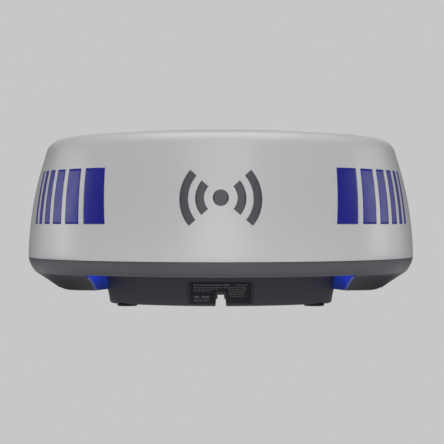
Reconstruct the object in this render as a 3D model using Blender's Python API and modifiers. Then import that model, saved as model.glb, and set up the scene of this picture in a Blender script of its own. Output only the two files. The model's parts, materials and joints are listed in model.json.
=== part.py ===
"""Dome radar antenna for a boat, modelled as an assembly of separate parts.

Run with: blender --background --python part.py
The sizes below are in millimetres and the helpers turn them into metres. The origin is on the mounting
plane, under the antenna's turning axis. +Z is up, -Y is the cable side and +Y faces the bow.
"""
import math

import bmesh
import bpy
from mathutils import Vector

MM = 0.001
MERGE = 0.00005            # metres, merge distance of every welding step
GAP = 0.3                  # air between parts that touch
BIG_STEPS = 48             # segments round the shells
MID_STEPS = 24             # segments round the spindle group
SMALL_STEPS = 14           # segments round screws and studs

# Radome shell
SHELL_R = 255.0            # widest radius
SHELL_WALL_ARC = 440.0     # radius of the convex side wall
SHELL_WIDEST_Z = 57.0
SHELL_SHOULDER = (210.5, 194.1)
SHELL_SHOULDER_R = 21.8
SHELL_SHOULDER_FROM = 83.6
SHELL_SHOULDER_TO = 19.1
SHELL_CROWN_ARC = 1916.0
SHELL_TOP_Z = 227.3
SHELL_THICKNESS = 4.0
SHELL_FLANGE_R = 236.0
SHELL_FLANGE_H = 4.0
SEAM_Z = 62.7

# Base casting: rim band, bowl and pedestal
RIM_TOP_Z = 62.3
RIM_TOP_R = 254.8
RIM_LOW = (247.0, 45.2)
RIM_BULGE = 1.2
RIM_INSIDE_R = 239.0
CONE_TOP = (245.4, 43.3)
CONE_DEG = 29.9
KEEL_Z = 21.15              # flat underside of the two pods
KEEL_X = 196.6             # half width of the flat underside
KEEL_Y = 87.0              # half depth of the flat underside
KEEL_POWER = 9.0           # squareness of the underside's outline
BOWL_FILLET = 31.8
CASTING = 3.5              # wall thickness of the bowl
FLOOR_Z = 49.0             # inner floor over the pedestal
FLOOR_THICKNESS = 4.5
PEDESTAL_Z = 2.7
PEDESTAL_HALF = 145.1      # half width at the foot of the side walls
PEDESTAL_REAR_Y = -112.0
PEDESTAL_FRONT_Y = 139.5
PEDESTAL_ARC = 208.0       # plan radius of the rear and front walls
PEDESTAL_CORNER = 24.0
PEDESTAL_EDGE = 4.5        # rounding of the bottom edge
PEDESTAL_TOP_Z = 46.0
FLARE_LINEAR = 0.116       # outward growth of the walls per mm of height
FLARE_SQUARE = 0.0053
BAY_WALL = 9.0             # wall round the cable bay
NICHE_X = 161.5            # inner side of the pods behind the pedestal
NICHE_Y = -98.0
NICHE_END = (143.0, -42.0)  # inside the pedestal's side wall
NICHE_CURVE = 1.3           # how gently the wall turns in from straight
NICHE_STEPS = 6
NICHE_CEILING_Z = 45.0

# Accent lights on the inner sides of the pods
LENS_THICKNESS = 4.0
LENS_Y = (-190, -44)
WINDOW_DEPTH = 7.5
WINDOW_Y = (-86, -70)
WINDOW_Z = (24, 40)
LAMP_BOARD_NEAR = 1.2
LAMP_BOARD_Y = (-84.5, -79.5)
LAMP_BOARD_Z = (26, 38)

# Mounting feet
FOOT_X = 116.5
FOOT_REAR_Y = -57.0
FOOT_FRONT_Y = 84.5
FOOT_SHIFT = 4.5           # each pad sits outboard of its bolt by this much
FOOT_R = 13.0
FOOT_HOLE_R = 7.0
BOSS_R = 14.0
INSERT_R = 6.0
INSERT_BORE_R = 3.4
INSERT_TOP_Z = 20.0

# Radome fixing
FIXING_X = 62.0
FIXING_Y = 224.6
FIXING_BOSS_R = 8.0
FIXING_R = 2.5
FIXING_HEAD_R = 4.8
FIXING_HEAD_Z = 49.5
SEAL_R = 243.5
SEAL_WIRE = 1.2

# Cable side
NOTCH_TOP_Z = 17.9
NOTCH_STEP_Z = 11.8
NOTCH_HALF_TOP = 4.1
NOTCH_HALF_STEP = 5.8
NOTCH_HALF_FOOT = 6.8
LABEL_HALF = 38.5
LABEL_Z = (7.0, 32.9)
RECESS_HALF = 41.6
RECESS_Z = (5.6, 34.0)
RECESS_DEPTH = 1.5
LABEL_SKIN = 0.7
LABEL_ARCH_HALF = 7.1
LABEL_ARCH_Z = 21.3
SOCKET_X = 54.0
SOCKET_Y = -78.0
SOCKET_BORE = 9.0
VENT_AT = (62.0, 20.0)
VENT_BORE = 5.0
CLAMP_X = 24.0             # cable clamp screws
CLAMP_Y = -88.0
CLAMP_PILLAR_R = 5.5
THREAD_R = 2.3             # tapping hole of every M4 screw

# Spindle group, on the Z axis
SPINDLE_R = 14.7
SPINDLE_BORE = 8.5
RACE_BORE = 15.0
RACE_R = 27.5
RACE_W = 13.0
BALL_R = 3.2
BALL_COUNT = 9
LOWER_BEARING_Z = 60.0
UPPER_BEARING_Z = 88.0
HOUSING_R = 31.5
HOUSING_TOP_Z = 103.0
HOUSING_FLANGE_R = 52.0
HOUSING_SCREW_R = 44.0
PULLEY_Z = (107.0, 117.0)
TOOTH_PITCH = 5.0
TOOTH_DEPTH = 1.6
DRIVEN_TEETH = 60
MOTOR_TEETH = 12
MOTOR_Y = 95.0
MOTOR_HALF = 21.1          # half of the 42 mm square frame
MOTOR_Z = (54.5, 95.0)
MOTOR_BORE = 2.8
BRACKET_LEG = 27.0         # outer half width of the motor bracket's legs
BRACKET_FOOT = 44.0
BRACKET_TOP_Z = 98.3
BRACKET_SHEET = 3.0
BELT_THICKNESS = 1.5
TURNTABLE_Z = 118.3
TURNTABLE_R = 58.0
UPSTAND_THICKNESS = 3.0

# Antenna
ANTENNA_HALF = 214.0
ANTENNA_Z = (126.0, 188.0)
ANTENNA_BACK_Y = -14.7
ANTENNA_FRONT_Y = 8.0
ANTENNA_NOSE_Y = 30.0
FEED_Z = 157.0             # height of the feed port in the antenna's back
ANTENNA_WALL = 2.5
FEED_LOW_Z = 123.9         # height of the feed cable where it leaves the rotary joint

# Electronics standing on the casting's floor
BOARD_Z = 55.0
BOARD_THICKNESS = 1.6
MAIN_BOARD = ((-141, -62), (-66, 62))
POWER_BOARD = ((54, 64), (128, 108))
TRANSCEIVER_X = (68, 141)
TRANSCEIVER_HALF_Y = 54.0
TRANSCEIVER_TOP_Z = 74.0
FIN_COUNT = 6
FIN_PITCH = 10.0
FIN_GAP = 6.0
FIN_FOOT_Z = 66.0
SENSOR_X = -47.0


# ---------------------------------------------------------------- scene and materials

def clear_scene():
    for item in list(bpy.data.objects):
        bpy.data.objects.remove(item)


def make_collection(name):
    group = bpy.data.collections.new(name)
    bpy.context.scene.collection.children.link(group)
    return group


def make_material(name, colour, roughness, metallic=0.0):
    paint = bpy.data.materials.new(name)
    paint.use_nodes = True
    shader = paint.node_tree.nodes["Principled BSDF"]
    shader.inputs["Base Color"].default_value = (*colour, 1.0)
    shader.inputs["Roughness"].default_value = roughness
    shader.inputs["Metallic"].default_value = metallic
    return paint


clear_scene()
PARTS = make_collection("radar_dome_antenna")
CUTTERS = make_collection("cutters")

WHITE_SHELL = make_material("white_shell", (0.80, 0.80, 0.81), 0.30)
GREY_CASTING = make_material("grey_casting", (0.085, 0.085, 0.095), 0.55)
BLACK_RUBBER = make_material("black_rubber", (0.03, 0.03, 0.035), 0.85)
LABEL_FILM = make_material("label_film", (0.020, 0.018, 0.026), 0.45)
BLUE_LENS = make_material("blue_lens", (0.01, 0.03, 0.45), 0.25)
GREEN_BOARD = make_material("green_board", (0.02, 0.12, 0.05), 0.50)
STEEL = make_material("steel", (0.56, 0.56, 0.58), 0.30, 1.0)
ALUMINIUM = make_material("aluminium", (0.70, 0.70, 0.72), 0.40, 1.0)
BRASS = make_material("brass", (0.70, 0.52, 0.22), 0.35, 1.0)
BLACK_PLASTIC = make_material("black_plastic", (0.04, 0.04, 0.045), 0.50)
FOAM_WHITE = make_material("foam_white", (0.72, 0.72, 0.70), 0.60)


# ---------------------------------------------------------------- shape helpers

def place(obj, material, cutter=False):
    """Link an object as a part, or hide it away as a cutter."""
    if cutter:
        CUTTERS.objects.link(obj)
        obj.display_type = "WIRE"
        obj.hide_render = True
    else:
        PARTS.objects.link(obj)
        obj.data.materials.append(material)
    return obj


def arc(centre, radius, start, end, count):
    """Points on a circle from one angle to another, in degrees."""
    angles = [math.radians(start + (end - start) * i / count) for i in range(count + 1)]
    return [(centre[0] + radius * math.cos(a), centre[1] + radius * math.sin(a)) for a in angles]


def circle(centre, radius, count=SMALL_STEPS):
    return arc(centre, radius, 0, 360, count)[:-1]


def rounded_box_outline(low, high, radius, count=4):
    corners = [((high[0] - radius, high[1] - radius), 0), ((low[0] + radius, high[1] - radius), 90),
               ((low[0] + radius, low[1] + radius), 180), ((high[0] - radius, low[1] + radius), 270)]
    points = []
    for centre, start in corners:
        points += arc(centre, radius, start, start + 90, count)
    return points


def turned(name, profile, material=None, steps=MID_STEPS, at=(0, 0), cutter=False):
    """Revolve a profile of (radius, z) points about a vertical axis."""
    mesh = bpy.data.meshes.new(name)
    points = [(r * MM, 0, z * MM) for r, z in profile]
    edges = [(i, i + 1) for i in range(len(points) - 1)]
    if profile[0][0] > 0:
        edges.append((len(points) - 1, 0))
    mesh.from_pydata(points, edges, [])
    obj = bpy.data.objects.new(name, mesh)
    obj.location = (at[0] * MM, at[1] * MM, 0)
    screw = obj.modifiers.new("turn", "SCREW")
    screw.steps = steps
    screw.render_steps = steps
    screw.use_merge_vertices = True
    screw.merge_threshold = MERGE
    screw.use_smooth_shade = True
    return place(obj, material, cutter)


def ring(name, inner, outer, z_low, z_high, material=None, steps=MID_STEPS, at=(0, 0), cutter=False):
    profile = [(outer, z_high), (outer, z_low), (inner, z_low), (inner, z_high)]
    return turned(name, profile, material, steps, at, cutter)


def rod(name, radius, z_low, z_high, material=None, steps=SMALL_STEPS, at=(0, 0), cutter=False):
    profile = [(0, z_high), (radius, z_high), (radius, z_low), (0, z_low)]
    return turned(name, profile, material, steps, at, cutter)


def box(name, low, high, material=None, cutter=False):
    mesh = bpy.data.meshes.new(name)
    work = bmesh.new()
    bmesh.ops.create_cube(work, size=1.0)
    size = [(high[i] - low[i]) * MM for i in range(3)]
    bmesh.ops.scale(work, vec=size, verts=work.verts)
    work.to_mesh(mesh)
    work.free()
    obj = bpy.data.objects.new(name, mesh)
    obj.location = [(high[i] + low[i]) / 2 * MM for i in range(3)]
    return place(obj, material, cutter)


def plate(name, outlines, low, high, material=None, turn=(0, 0, 0), cutter=False):
    """Flat outline, with holes, given thickness from low to high along its own normal."""
    curve = bpy.data.curves.new(name, "CURVE")
    curve.dimensions = "2D"
    curve.fill_mode = "BOTH"
    curve.extrude = (high - low) / 2 * MM
    curve.render_resolution_u = 0
    for outline in outlines:
        spline = curve.splines.new("POLY")
        spline.points.add(len(outline) - 1)
        for point, (x, y) in zip(spline.points, outline):
            point.co = (x * MM, y * MM, 0, 1)
        spline.use_cyclic_u = True
    shape = bpy.data.objects.new(name + "_outline", curve)
    shape.rotation_euler = turn
    shift = Vector((0, 0, (high + low) / 2 * MM))
    shift.rotate(shape.rotation_euler)
    shape.location = shift
    return mesh_from_curve(name, shape, material, cutter)


def mesh_from_curve(name, shape, material, cutter=False):
    """Replace a curve object by a welded mesh object in the same place."""
    PARTS.objects.link(shape)
    bpy.context.view_layer.update()
    source = shape.evaluated_get(bpy.context.evaluated_depsgraph_get())
    mesh = bpy.data.meshes.new_from_object(source)
    mesh.name = name
    work = bmesh.new()
    work.from_mesh(mesh)
    bmesh.ops.remove_doubles(work, verts=work.verts, dist=MERGE)
    work.to_mesh(mesh)
    work.free()
    obj = bpy.data.objects.new(name, mesh)
    obj.matrix_world = shape.matrix_world.copy()
    bpy.data.objects.remove(shape)
    return place(obj, material, cutter)


def wire(name, points, radius, material):
    """Round wire through the points."""
    curve = bpy.data.curves.new(name, "CURVE")
    curve.dimensions = "3D"
    curve.bevel_depth = radius * MM
    curve.bevel_resolution = 2
    curve.use_fill_caps = True
    curve.render_resolution_u = 0
    spline = curve.splines.new("POLY")
    spline.points.add(len(points) - 1)
    for knot, (x, y, z) in zip(spline.points, points):
        knot.co = (x * MM, y * MM, z * MM, 1)
    return place(bpy.data.objects.new(name, curve), material)


def level_rings(levels, steps):
    """Rings for a loft from (radius, z) levels; a radius can be a number or a function of the angle."""
    angles = [2 * math.pi * i / steps for i in range(steps)]
    rings = []
    for radius, z in levels:
        reach = [radius(a) if callable(radius) else radius for a in angles]
        rings.append([(r * math.cos(a), r * math.sin(a), z) for r, a in zip(reach, angles)])
    return rings


def loft(name, rings, material=None, cutter=False):
    """Skin a stack of equal-length rings, low to high, and close both ends."""
    mesh = bpy.data.meshes.new(name)
    work = bmesh.new()
    levels = [[work.verts.new([c * MM for c in point]) for point in level] for level in rings]
    count = len(rings[0])
    for lower, upper in zip(levels, levels[1:]):
        for i in range(count):
            j = (i + 1) % count
            work.faces.new((lower[i], lower[j], upper[j], upper[i]))
    work.faces.new(levels[-1])
    work.faces.new(list(reversed(levels[0])))
    bmesh.ops.recalc_face_normals(work, faces=work.faces)
    work.to_mesh(mesh)
    work.free()
    return place(bpy.data.objects.new(name, mesh), material, cutter)


def combine(obj, other, operation):
    step = obj.modifiers.new(other.name, "BOOLEAN")
    step.object = other
    step.operation = operation
    step.solver = "EXACT"


def cut(obj, *others):
    for other in others:
        combine(obj, other, "DIFFERENCE")


def join(obj, *others):
    for other in others:
        combine(obj, other, "UNION")


def keep(obj, other):
    combine(obj, other, "INTERSECT")


# ---------------------------------------------------------------- radome

def shell_profile(depth, low_z, count):
    """Radome section from the crown down to low_z, pushed in by depth, with count steps to each arc."""
    crown_r = SHELL_CROWN_ARC - depth
    crown_z = SHELL_TOP_Z - SHELL_CROWN_ARC
    crown_end = math.degrees(math.asin(SHELL_SHOULDER[0] / (SHELL_CROWN_ARC - SHELL_SHOULDER_R)))
    crown = arc((0, crown_z), crown_r, 90, 90 - crown_end, count)
    shoulder = arc(SHELL_SHOULDER, SHELL_SHOULDER_R - depth, SHELL_SHOULDER_FROM, SHELL_SHOULDER_TO, count)
    wall_r = SHELL_WALL_ARC - depth
    low = math.degrees(math.asin((low_z - SHELL_WIDEST_Z) / wall_r))
    wall = arc((SHELL_R - SHELL_WALL_ARC, SHELL_WIDEST_Z), wall_r, SHELL_SHOULDER_TO, low, count)
    return [(0, crown[0][1])] + crown[1:-1] + shoulder + wall[1:]


def make_radome():
    flange_z = SEAM_Z + SHELL_FLANGE_H
    outside = shell_profile(0, SEAM_Z, 4)
    inside = shell_profile(SHELL_THICKNESS, flange_z, 3)
    flange = [(SHELL_FLANGE_R, SEAM_Z), (SHELL_FLANGE_R, flange_z)]
    cover = turned("radome_cover", outside + flange + inside[::-1], WHITE_SHELL, BIG_STEPS)
    for i, (x, y) in enumerate(fixing_places(), 1):
        boss = rod(f"shell_boss_{i}", 7.0, SEAM_Z + 0.6, 81, steps=SMALL_STEPS, at=(x, y), cutter=True)
        hole = rod(f"shell_hole_{i}", FIXING_R + GAP, SEAM_Z - 1, 78, at=(x, y), cutter=True)
        join(cover, boss)
        cut(cover, hole)
    section = circle((SEAL_R, RIM_TOP_Z - SEAL_WIRE), SEAL_WIRE, 6)[::-1]
    turned("radome_seal", section, BLACK_RUBBER, BIG_STEPS)


def fixing_places():
    return [(side * FIXING_X, end * FIXING_Y) for end in (-1, 1) for side in (-1, 1)]


def make_radome_screws():
    for i, place_xy in enumerate(fixing_places(), 1):
        head_low = FIXING_HEAD_Z - GAP - 3.6
        socket_z = head_low + 2.2
        under_head = FIXING_HEAD_Z - GAP
        profile = [(0, 76), (FIXING_R, 76), (FIXING_R, under_head), (FIXING_HEAD_R, under_head),
                   (FIXING_HEAD_R, head_low), (2.0, head_low), (2.0, socket_z), (0, socket_z)]
        turned(f"radome_screw_{i}", profile, STEEL, 10, place_xy)


# ---------------------------------------------------------------- base casting

def rim_arc():
    """Slightly convex rim band, from the seam down to the kink."""
    top = Vector((RIM_TOP_R, RIM_TOP_Z))
    low = Vector(RIM_LOW)
    across = (top - low).orthogonal().normalized()
    if across.x < 0:
        across.negate()
    points = []
    for i in range(4):
        t = i / 3
        bulge = RIM_BULGE * 4 * t * (1 - t)
        points.append(tuple(top.lerp(low, t) + across * bulge))
    return points


def keel_radius(angle):
    """Distance from the axis to the edge of the flat underside, a squared oval."""
    across = abs(math.cos(angle)) / KEEL_X
    along = abs(math.sin(angle)) / KEEL_Y
    return (across ** KEEL_POWER + along ** KEEL_POWER) ** (-1 / KEEL_POWER)


def bowl_reach(share, widest):
    """Radius of the bowl by angle, from the keel's edge at share 0 to the round rim at share 1."""
    def radius(angle):
        keel = keel_radius(angle)
        return min(widest, keel + (CONE_TOP[0] - keel) * share)
    return radius


def bowl_levels(lift, widest=CONE_TOP[0]):
    """Levels of the bowl from the rim down to the keel's edge, raised by lift and kept inside widest."""
    slope = math.radians(CONE_DEG)
    levels = []
    for share in (1, 0.85, 0.68, 0.46, 0.30, 0.15, 0):
        out = (CONE_TOP[0] - KEEL_X) * share
        if out < BOWL_FILLET * math.sin(slope):
            height = KEEL_Z + BOWL_FILLET - math.sqrt(BOWL_FILLET ** 2 - out ** 2)
        else:
            height = CONE_TOP[1] - (CONE_TOP[0] - KEEL_X - out) * math.tan(slope)
        levels.append((bowl_reach(share, widest), height + lift))
    return levels


def pedestal_outline(offset):
    """Plan of the pedestal: curved rear and front walls, straight sides, round corners."""
    half = PEDESTAL_HALF + offset
    corner = PEDESTAL_CORNER + offset
    reach = PEDESTAL_ARC - PEDESTAL_CORNER
    inset = PEDESTAL_HALF - PEDESTAL_CORNER
    swing = math.degrees(math.asin(inset / reach))
    radius = PEDESTAL_ARC + offset
    front_centre = (0, PEDESTAL_FRONT_Y - PEDESTAL_ARC)
    rear_centre = (0, PEDESTAL_REAR_Y + PEDESTAL_ARC)
    drop = reach * math.cos(math.radians(swing))
    front = arc(front_centre, radius, 90 - swing, 90 + swing, 10)
    rear = arc(rear_centre, radius, 270 - swing, 270 + swing, 10)
    left_front = arc((-inset, front_centre[1] + drop), corner, 90 + swing, 180, 4)
    left_rear = arc((-inset, rear_centre[1] - drop), corner, 180, 270 - swing, 4)
    right_rear = arc((inset, rear_centre[1] - drop), corner, 270 + swing, 360, 4)
    right_front = arc((inset, front_centre[1] + drop), corner, 0, 90 - swing, 4)
    assert abs(max(x for x, y in right_front) - half) < 0.001
    return front + left_front[1:] + left_rear + rear[1:] + right_rear[1:] + right_front[:-1]


def flare(z):
    """How far the pedestal's wall stands out at a height above its rounded edge."""
    rise = z - PEDESTAL_Z - PEDESTAL_EDGE
    return FLARE_LINEAR * rise + FLARE_SQUARE * rise * rise


def pedestal_rings(offset):
    rings = []
    edge_z = PEDESTAL_Z + PEDESTAL_EDGE
    for degrees in (-90, -60, -30):
        turn = math.radians(degrees)
        inset = PEDESTAL_EDGE * (math.cos(turn) - 1)
        z = edge_z + PEDESTAL_EDGE * math.sin(turn)
        rings.append([(x, y, z) for x, y in pedestal_outline(offset + inset)])
    levels = 3
    for i in range(levels + 1):
        z = edge_z + (PEDESTAL_TOP_Z - edge_z) * i / levels
        rings.append([(x, y, z) for x, y in pedestal_outline(offset + flare(z))])
    return rings


def niche_face_x(y):
    """Half width of the space behind the pedestal: straight at the back, curving in towards its front."""
    end_x, end_y = NICHE_END
    share = min(1.0, max(0.0, (y - NICHE_Y) / (end_y - NICHE_Y)))
    return NICHE_X - (NICHE_X - end_x) * share ** NICHE_CURVE


def niche_knots(y_low, y_high):
    """Places along the wall where its plan bends, between two ends."""
    bends = [NICHE_Y + (NICHE_END[1] - NICHE_Y) * i / NICHE_STEPS for i in range(NICHE_STEPS + 1)]
    return [y_low] + [y for y in bends if y_low < y < y_high] + [y_high]


def niche_outline(offset):
    """Plan of the space behind the pedestal, between the two pods, grown by offset."""
    right = [(niche_face_x(y) + offset, y) for y in niche_knots(-300, NICHE_END[1])]
    return right + [(-x, y) for x, y in reversed(right)]


def niche_strip(side, near, far, y_low, y_high):
    """Thin plan strip that follows the pod's inner side, from near to far outside its face."""
    knots = niche_knots(y_low, y_high)
    inner = [(side * (niche_face_x(y) + near), y) for y in knots]
    outer = [(side * (niche_face_x(y) + far), y) for y in reversed(knots)]
    return inner + outer


def foot_places():
    return [(side * FOOT_X, y) for y in (FOOT_REAR_Y, FOOT_FRONT_Y) for side in (-1, 1)]


def notch_outline():
    """Cable notch in the rear wall, seen along Y: a narrow slot over a wider foot."""
    half = [(NOTCH_HALF_FOOT + 0.4, -1.0),
            (NOTCH_HALF_STEP, NOTCH_STEP_Z),
            (NOTCH_HALF_TOP, NOTCH_STEP_Z + 0.8)]
    half += arc((NOTCH_HALF_TOP - 0.8, NOTCH_TOP_Z - 0.8), 0.8, 0, 90, 3)
    return half + [(-x, z) for x, z in reversed(half)]


def make_bowl():
    """Rim and bowl as one solid lump, with the space behind the pedestal and the light windows cut out."""
    groove_z = RIM_TOP_Z - SEAL_WIRE * 2 - 0.4
    groove = [(SEAL_R - 2, RIM_TOP_Z),
              (SEAL_R - 2, groove_z),
              (SEAL_R + 2, groove_z),
              (SEAL_R + 2, RIM_TOP_Z)]
    levels = groove + rim_arc() + bowl_levels(0)
    bowl = loft("base_housing", level_rings(levels[::-1], BIG_STEPS), GREY_CASTING)
    cut(bowl, plate("niche", [niche_outline(0)], -20, NICHE_CEILING_Z, cutter=True))
    for side, name in ((-1, "left"), (1, "right")):
        window = niche_strip(side, -1.0, WINDOW_DEPTH, *WINDOW_Y)
        cut(bowl, plate(f"light_window_{name}", [window], *WINDOW_Z, cutter=True))
    return bowl


def make_cavity():
    """Inside of the casting, over a raised floor."""
    lift = CASTING / math.cos(math.radians(CONE_DEG))
    levels = [(RIM_INSIDE_R, RIM_TOP_Z + 2)] + bowl_levels(lift, RIM_INSIDE_R)
    cavity = loft("cavity", level_rings(levels[::-1], BIG_STEPS), cutter=True)
    block_outline = pedestal_outline(flare(PEDESTAL_TOP_Z) + CASTING)
    block = plate("floor_block", [block_outline], 0, FLOOR_Z, cutter=True)
    shelf = plate("niche_block", [niche_outline(CASTING)], -1, FLOOR_Z, cutter=True)
    cut(cavity, block, shelf)
    for i, place_xy in enumerate(fixing_places(), 1):
        cut(cavity, rod(f"rim_boss_{i}", FIXING_BOSS_R, 0, RIM_TOP_Z - 0.2, at=place_xy, cutter=True))
    return cavity


def make_bay():
    """Cable bay under the pedestal, with the four mounting pillars left standing."""
    outline = pedestal_outline(-BAY_WALL)
    bay = plate("cable_bay", [outline], -5, FLOOR_Z - FLOOR_THICKNESS, cutter=True)
    for i, place_xy in enumerate(foot_places(), 1):
        cut(bay, rod(f"pillar_{i}", BOSS_R, -10, FLOOR_Z, at=place_xy, cutter=True))
    for side in (-1, 1):
        pillar_at = (side * CLAMP_X, CLAMP_Y)
        pillar = rod(f"clamp_pillar_{side + 2}", CLAMP_PILLAR_R, 25, FLOOR_Z, at=pillar_at, cutter=True)
        cut(bay, pillar)
    return bay


def make_recess():
    """Shallow recess for the label: a block less the pedestal pushed in by the recess depth."""
    outline = rounded_box_outline((-RECESS_HALF, RECESS_Z[0]), (RECESS_HALF, RECESS_Z[1]), 3.0)
    recess = plate("label_recess", [outline], 90, 140, turn=(math.pi / 2, 0, 0), cutter=True)
    cut(recess, loft("recess_floor", pedestal_rings(-RECESS_DEPTH), cutter=True))
    return recess


def make_base():
    base = make_bowl()
    join(base, loft("pedestal", pedestal_rings(0), cutter=True))
    cut(base, make_cavity())
    cut(base, make_bay())
    cut(base, make_recess())
    cut(base, plate("notch", [notch_outline()], 85, 140, turn=(math.pi / 2, 0, 0), cutter=True))
    for i, place_xy in enumerate(foot_places(), 1):
        cut(base, rod(f"insert_hole_{i}", INSERT_R + GAP, -5, INSERT_TOP_Z + GAP, at=place_xy, cutter=True))
    for i, place_xy in enumerate(fixing_places(), 1):
        head_r = FIXING_HEAD_R + 0.6
        hole_r = FIXING_R + GAP
        stepped = [(0, 70), (hole_r, 70), (hole_r, FIXING_HEAD_Z),
                   (head_r, FIXING_HEAD_Z), (head_r, 20), (0, 20)]
        cut(base, turned(f"fixing_hole_{i}", stepped, steps=SMALL_STEPS, at=place_xy, cutter=True))
    for i, x in enumerate((-SOCKET_X, SOCKET_X), 1):
        cut(base, rod(f"socket_hole_{i}", SOCKET_BORE, 40, FLOOR_Z + 2, at=(x, SOCKET_Y), cutter=True))
    cut(base, rod("vent_hole", VENT_BORE, 40, FLOOR_Z + 2, at=VENT_AT, cutter=True))
    for i, place_xy in enumerate(housing_screw_places(), 1):
        cut(base, rod(f"floor_thread_{i}", THREAD_R, 45.7, FLOOR_Z + 2, steps=12, at=place_xy, cutter=True))
    for i, x in enumerate((-CLAMP_X, CLAMP_X), 1):
        cut(base, rod(f"clamp_thread_{i}", THREAD_R, 20, 40, steps=12, at=(x, CLAMP_Y), cutter=True))
    return base


def make_feet():
    for i, place_xy in enumerate(foot_places(), 1):
        top_z = PEDESTAL_Z - GAP
        profile = [(0, top_z), (FOOT_R, top_z), (FOOT_R, 1.0), (FOOT_R - 1.0, 0), (0, 0)]
        x, y = place_xy
        pad = turned(f"mounting_pad_{i}", profile, BLACK_RUBBER, 20, (x + math.copysign(FOOT_SHIFT, x), y))
        cut(pad, rod(f"pad_hole_{i}", FOOT_HOLE_R, -1, PEDESTAL_Z, steps=20, at=place_xy, cutter=True))
        ring(f"thread_insert_{i}", INSERT_BORE_R, INSERT_R, PEDESTAL_Z + GAP, INSERT_TOP_Z,
             BRASS, SMALL_STEPS, place_xy)


def make_label():
    outline = rounded_box_outline((-LABEL_HALF, LABEL_Z[0]), (LABEL_HALF, LABEL_Z[1]), 1.6)
    label = plate("rating_label", [outline], 90, 140, LABEL_FILM, turn=(math.pi / 2, 0, 0))
    arch = [(LABEL_ARCH_HALF, 0)] + arc((LABEL_ARCH_HALF - 3, LABEL_ARCH_Z - 3), 3, 0, 90, 3)
    arch += [(-x, z) for x, z in reversed(arch)]
    cut(label, plate("label_arch", [arch], 80, 150, turn=(math.pi / 2, 0, 0), cutter=True))
    skin = GAP - RECESS_DEPTH
    keep(label, loft("label_front", pedestal_rings(skin + LABEL_SKIN), cutter=True))
    cut(label, loft("label_back", pedestal_rings(skin), cutter=True))


def make_accent_lights():
    """Clear strips on the inner side of both pods, each with a small lamp board in the wall behind it."""
    levels = [(CONE_TOP[0] + 3.2, CONE_TOP[1] + 3.5)] + bowl_levels(GAP + 0.1)
    trim = loft("lens_trim", level_rings(levels[::-1], BIG_STEPS), cutter=True)
    clearance = loft("lens_clearance", pedestal_rings(GAP), cutter=True)
    for side, name in ((-1, "left"), (1, "right")):
        strip = niche_strip(side, -GAP, -GAP - LENS_THICKNESS, *LENS_Y)
        lens = plate(f"accent_lens_{name}", [strip], KEEL_Z + 0.6, NICHE_CEILING_Z - GAP, BLUE_LENS)
        keep(lens, trim)
        cut(lens, clearance)
        board = niche_strip(side, LAMP_BOARD_NEAR, LAMP_BOARD_NEAR + 2, *LAMP_BOARD_Y)
        plate(f"accent_led_board_{name}", [board], *LAMP_BOARD_Z, GREEN_BOARD)


# ---------------------------------------------------------------- cable bay fittings

def make_sockets():
    roof = FLOOR_Z - FLOOR_THICKNESS
    for name, x, mouth in (("network_socket", -SOCKET_X, 7.6), ("power_socket", SOCKET_X, 6.6)):
        profile = [(0, 57), (8.6, 57), (8.6, roof - GAP), (13, roof - GAP), (13, roof - 3.4),
                   (10.4, roof - 3.4), (10.4, 28), (mouth, 28), (mouth, 38), (0, 38)]
        turned(name, profile, BLACK_PLASTIC, 24, (x, SOCKET_Y))
        hexagon = circle((x, SOCKET_Y), 13.5, 6)
        bore = circle((x, SOCKET_Y), SOCKET_BORE, 24)
        plate(f"{name}_nut", [hexagon, bore], FLOOR_Z + GAP, FLOOR_Z + 4, STEEL)
    vent = [(0, 54), (4.6, 54), (4.6, roof - GAP), (8, roof - GAP),
            (8, roof - 2.4), (6.6, roof - 4), (0, roof - 4)]
    turned("pressure_vent", vent, BLACK_PLASTIC, SMALL_STEPS, VENT_AT)


def make_cable_clamp():
    half = (CLAMP_X + 7, 6.5)
    outline = rounded_box_outline((-half[0], CLAMP_Y - half[1]), (half[0], CLAMP_Y + half[1]), 5)
    holes = [circle((x, CLAMP_Y), THREAD_R, 12) for x in (-CLAMP_X, CLAMP_X)]
    plate("cable_clamp", [outline, *holes], 20.5, 24.7, STEEL)
    for i, x in enumerate((-CLAMP_X, CLAMP_X), 1):
        profile = [(0, 38), (2, 38), (2, 20.2), (3.8, 20.2), (3.8, 17.6), (0, 17.6)]
        turned(f"cable_clamp_screw_{i}", profile, STEEL, 12, (x, CLAMP_Y))


# ---------------------------------------------------------------- spindle group

def housing_screw_places():
    angles = [math.radians(a) for a in (30, 150, 270)]
    return [(HOUSING_SCREW_R * math.cos(a), HOUSING_SCREW_R * math.sin(a)) for a in angles]


def make_bearing_housing():
    seat = LOWER_BEARING_Z - GAP
    low = FLOOR_Z + GAP
    outside = [(HOUSING_R, HOUSING_TOP_Z), (HOUSING_R, low + 9), (HOUSING_R + 3, low + 6),
               (HOUSING_FLANGE_R, low + 6), (HOUSING_FLANGE_R, low)]
    inside = [(22, low), (22, seat), (RACE_R + GAP, seat), (RACE_R + GAP, HOUSING_TOP_Z)]
    housing = turned("bearing_housing", outside + inside, ALUMINIUM)
    for i, place_xy in enumerate(housing_screw_places(), 1):
        cut(housing, rod(f"flange_hole_{i}", 2.4, 40, 70, steps=12, at=place_xy, cutter=True))
        screw = [(0, low + 9.3), (3.8, low + 9.3), (3.8, low + 6.3), (2, low + 6.3), (2, 46), (0, 46)]
        turned(f"housing_screw_{i}", screw, STEEL, 12, place_xy)
    ring("bearing_retainer", 23.5, HOUSING_R, HOUSING_TOP_Z + GAP, HOUSING_TOP_Z + 2, ALUMINIUM)
    spacer_low = LOWER_BEARING_Z + RACE_W + GAP
    ring("bearing_spacer", 24.2, RACE_R, spacer_low, UPPER_BEARING_Z - GAP, ALUMINIUM)


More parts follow.
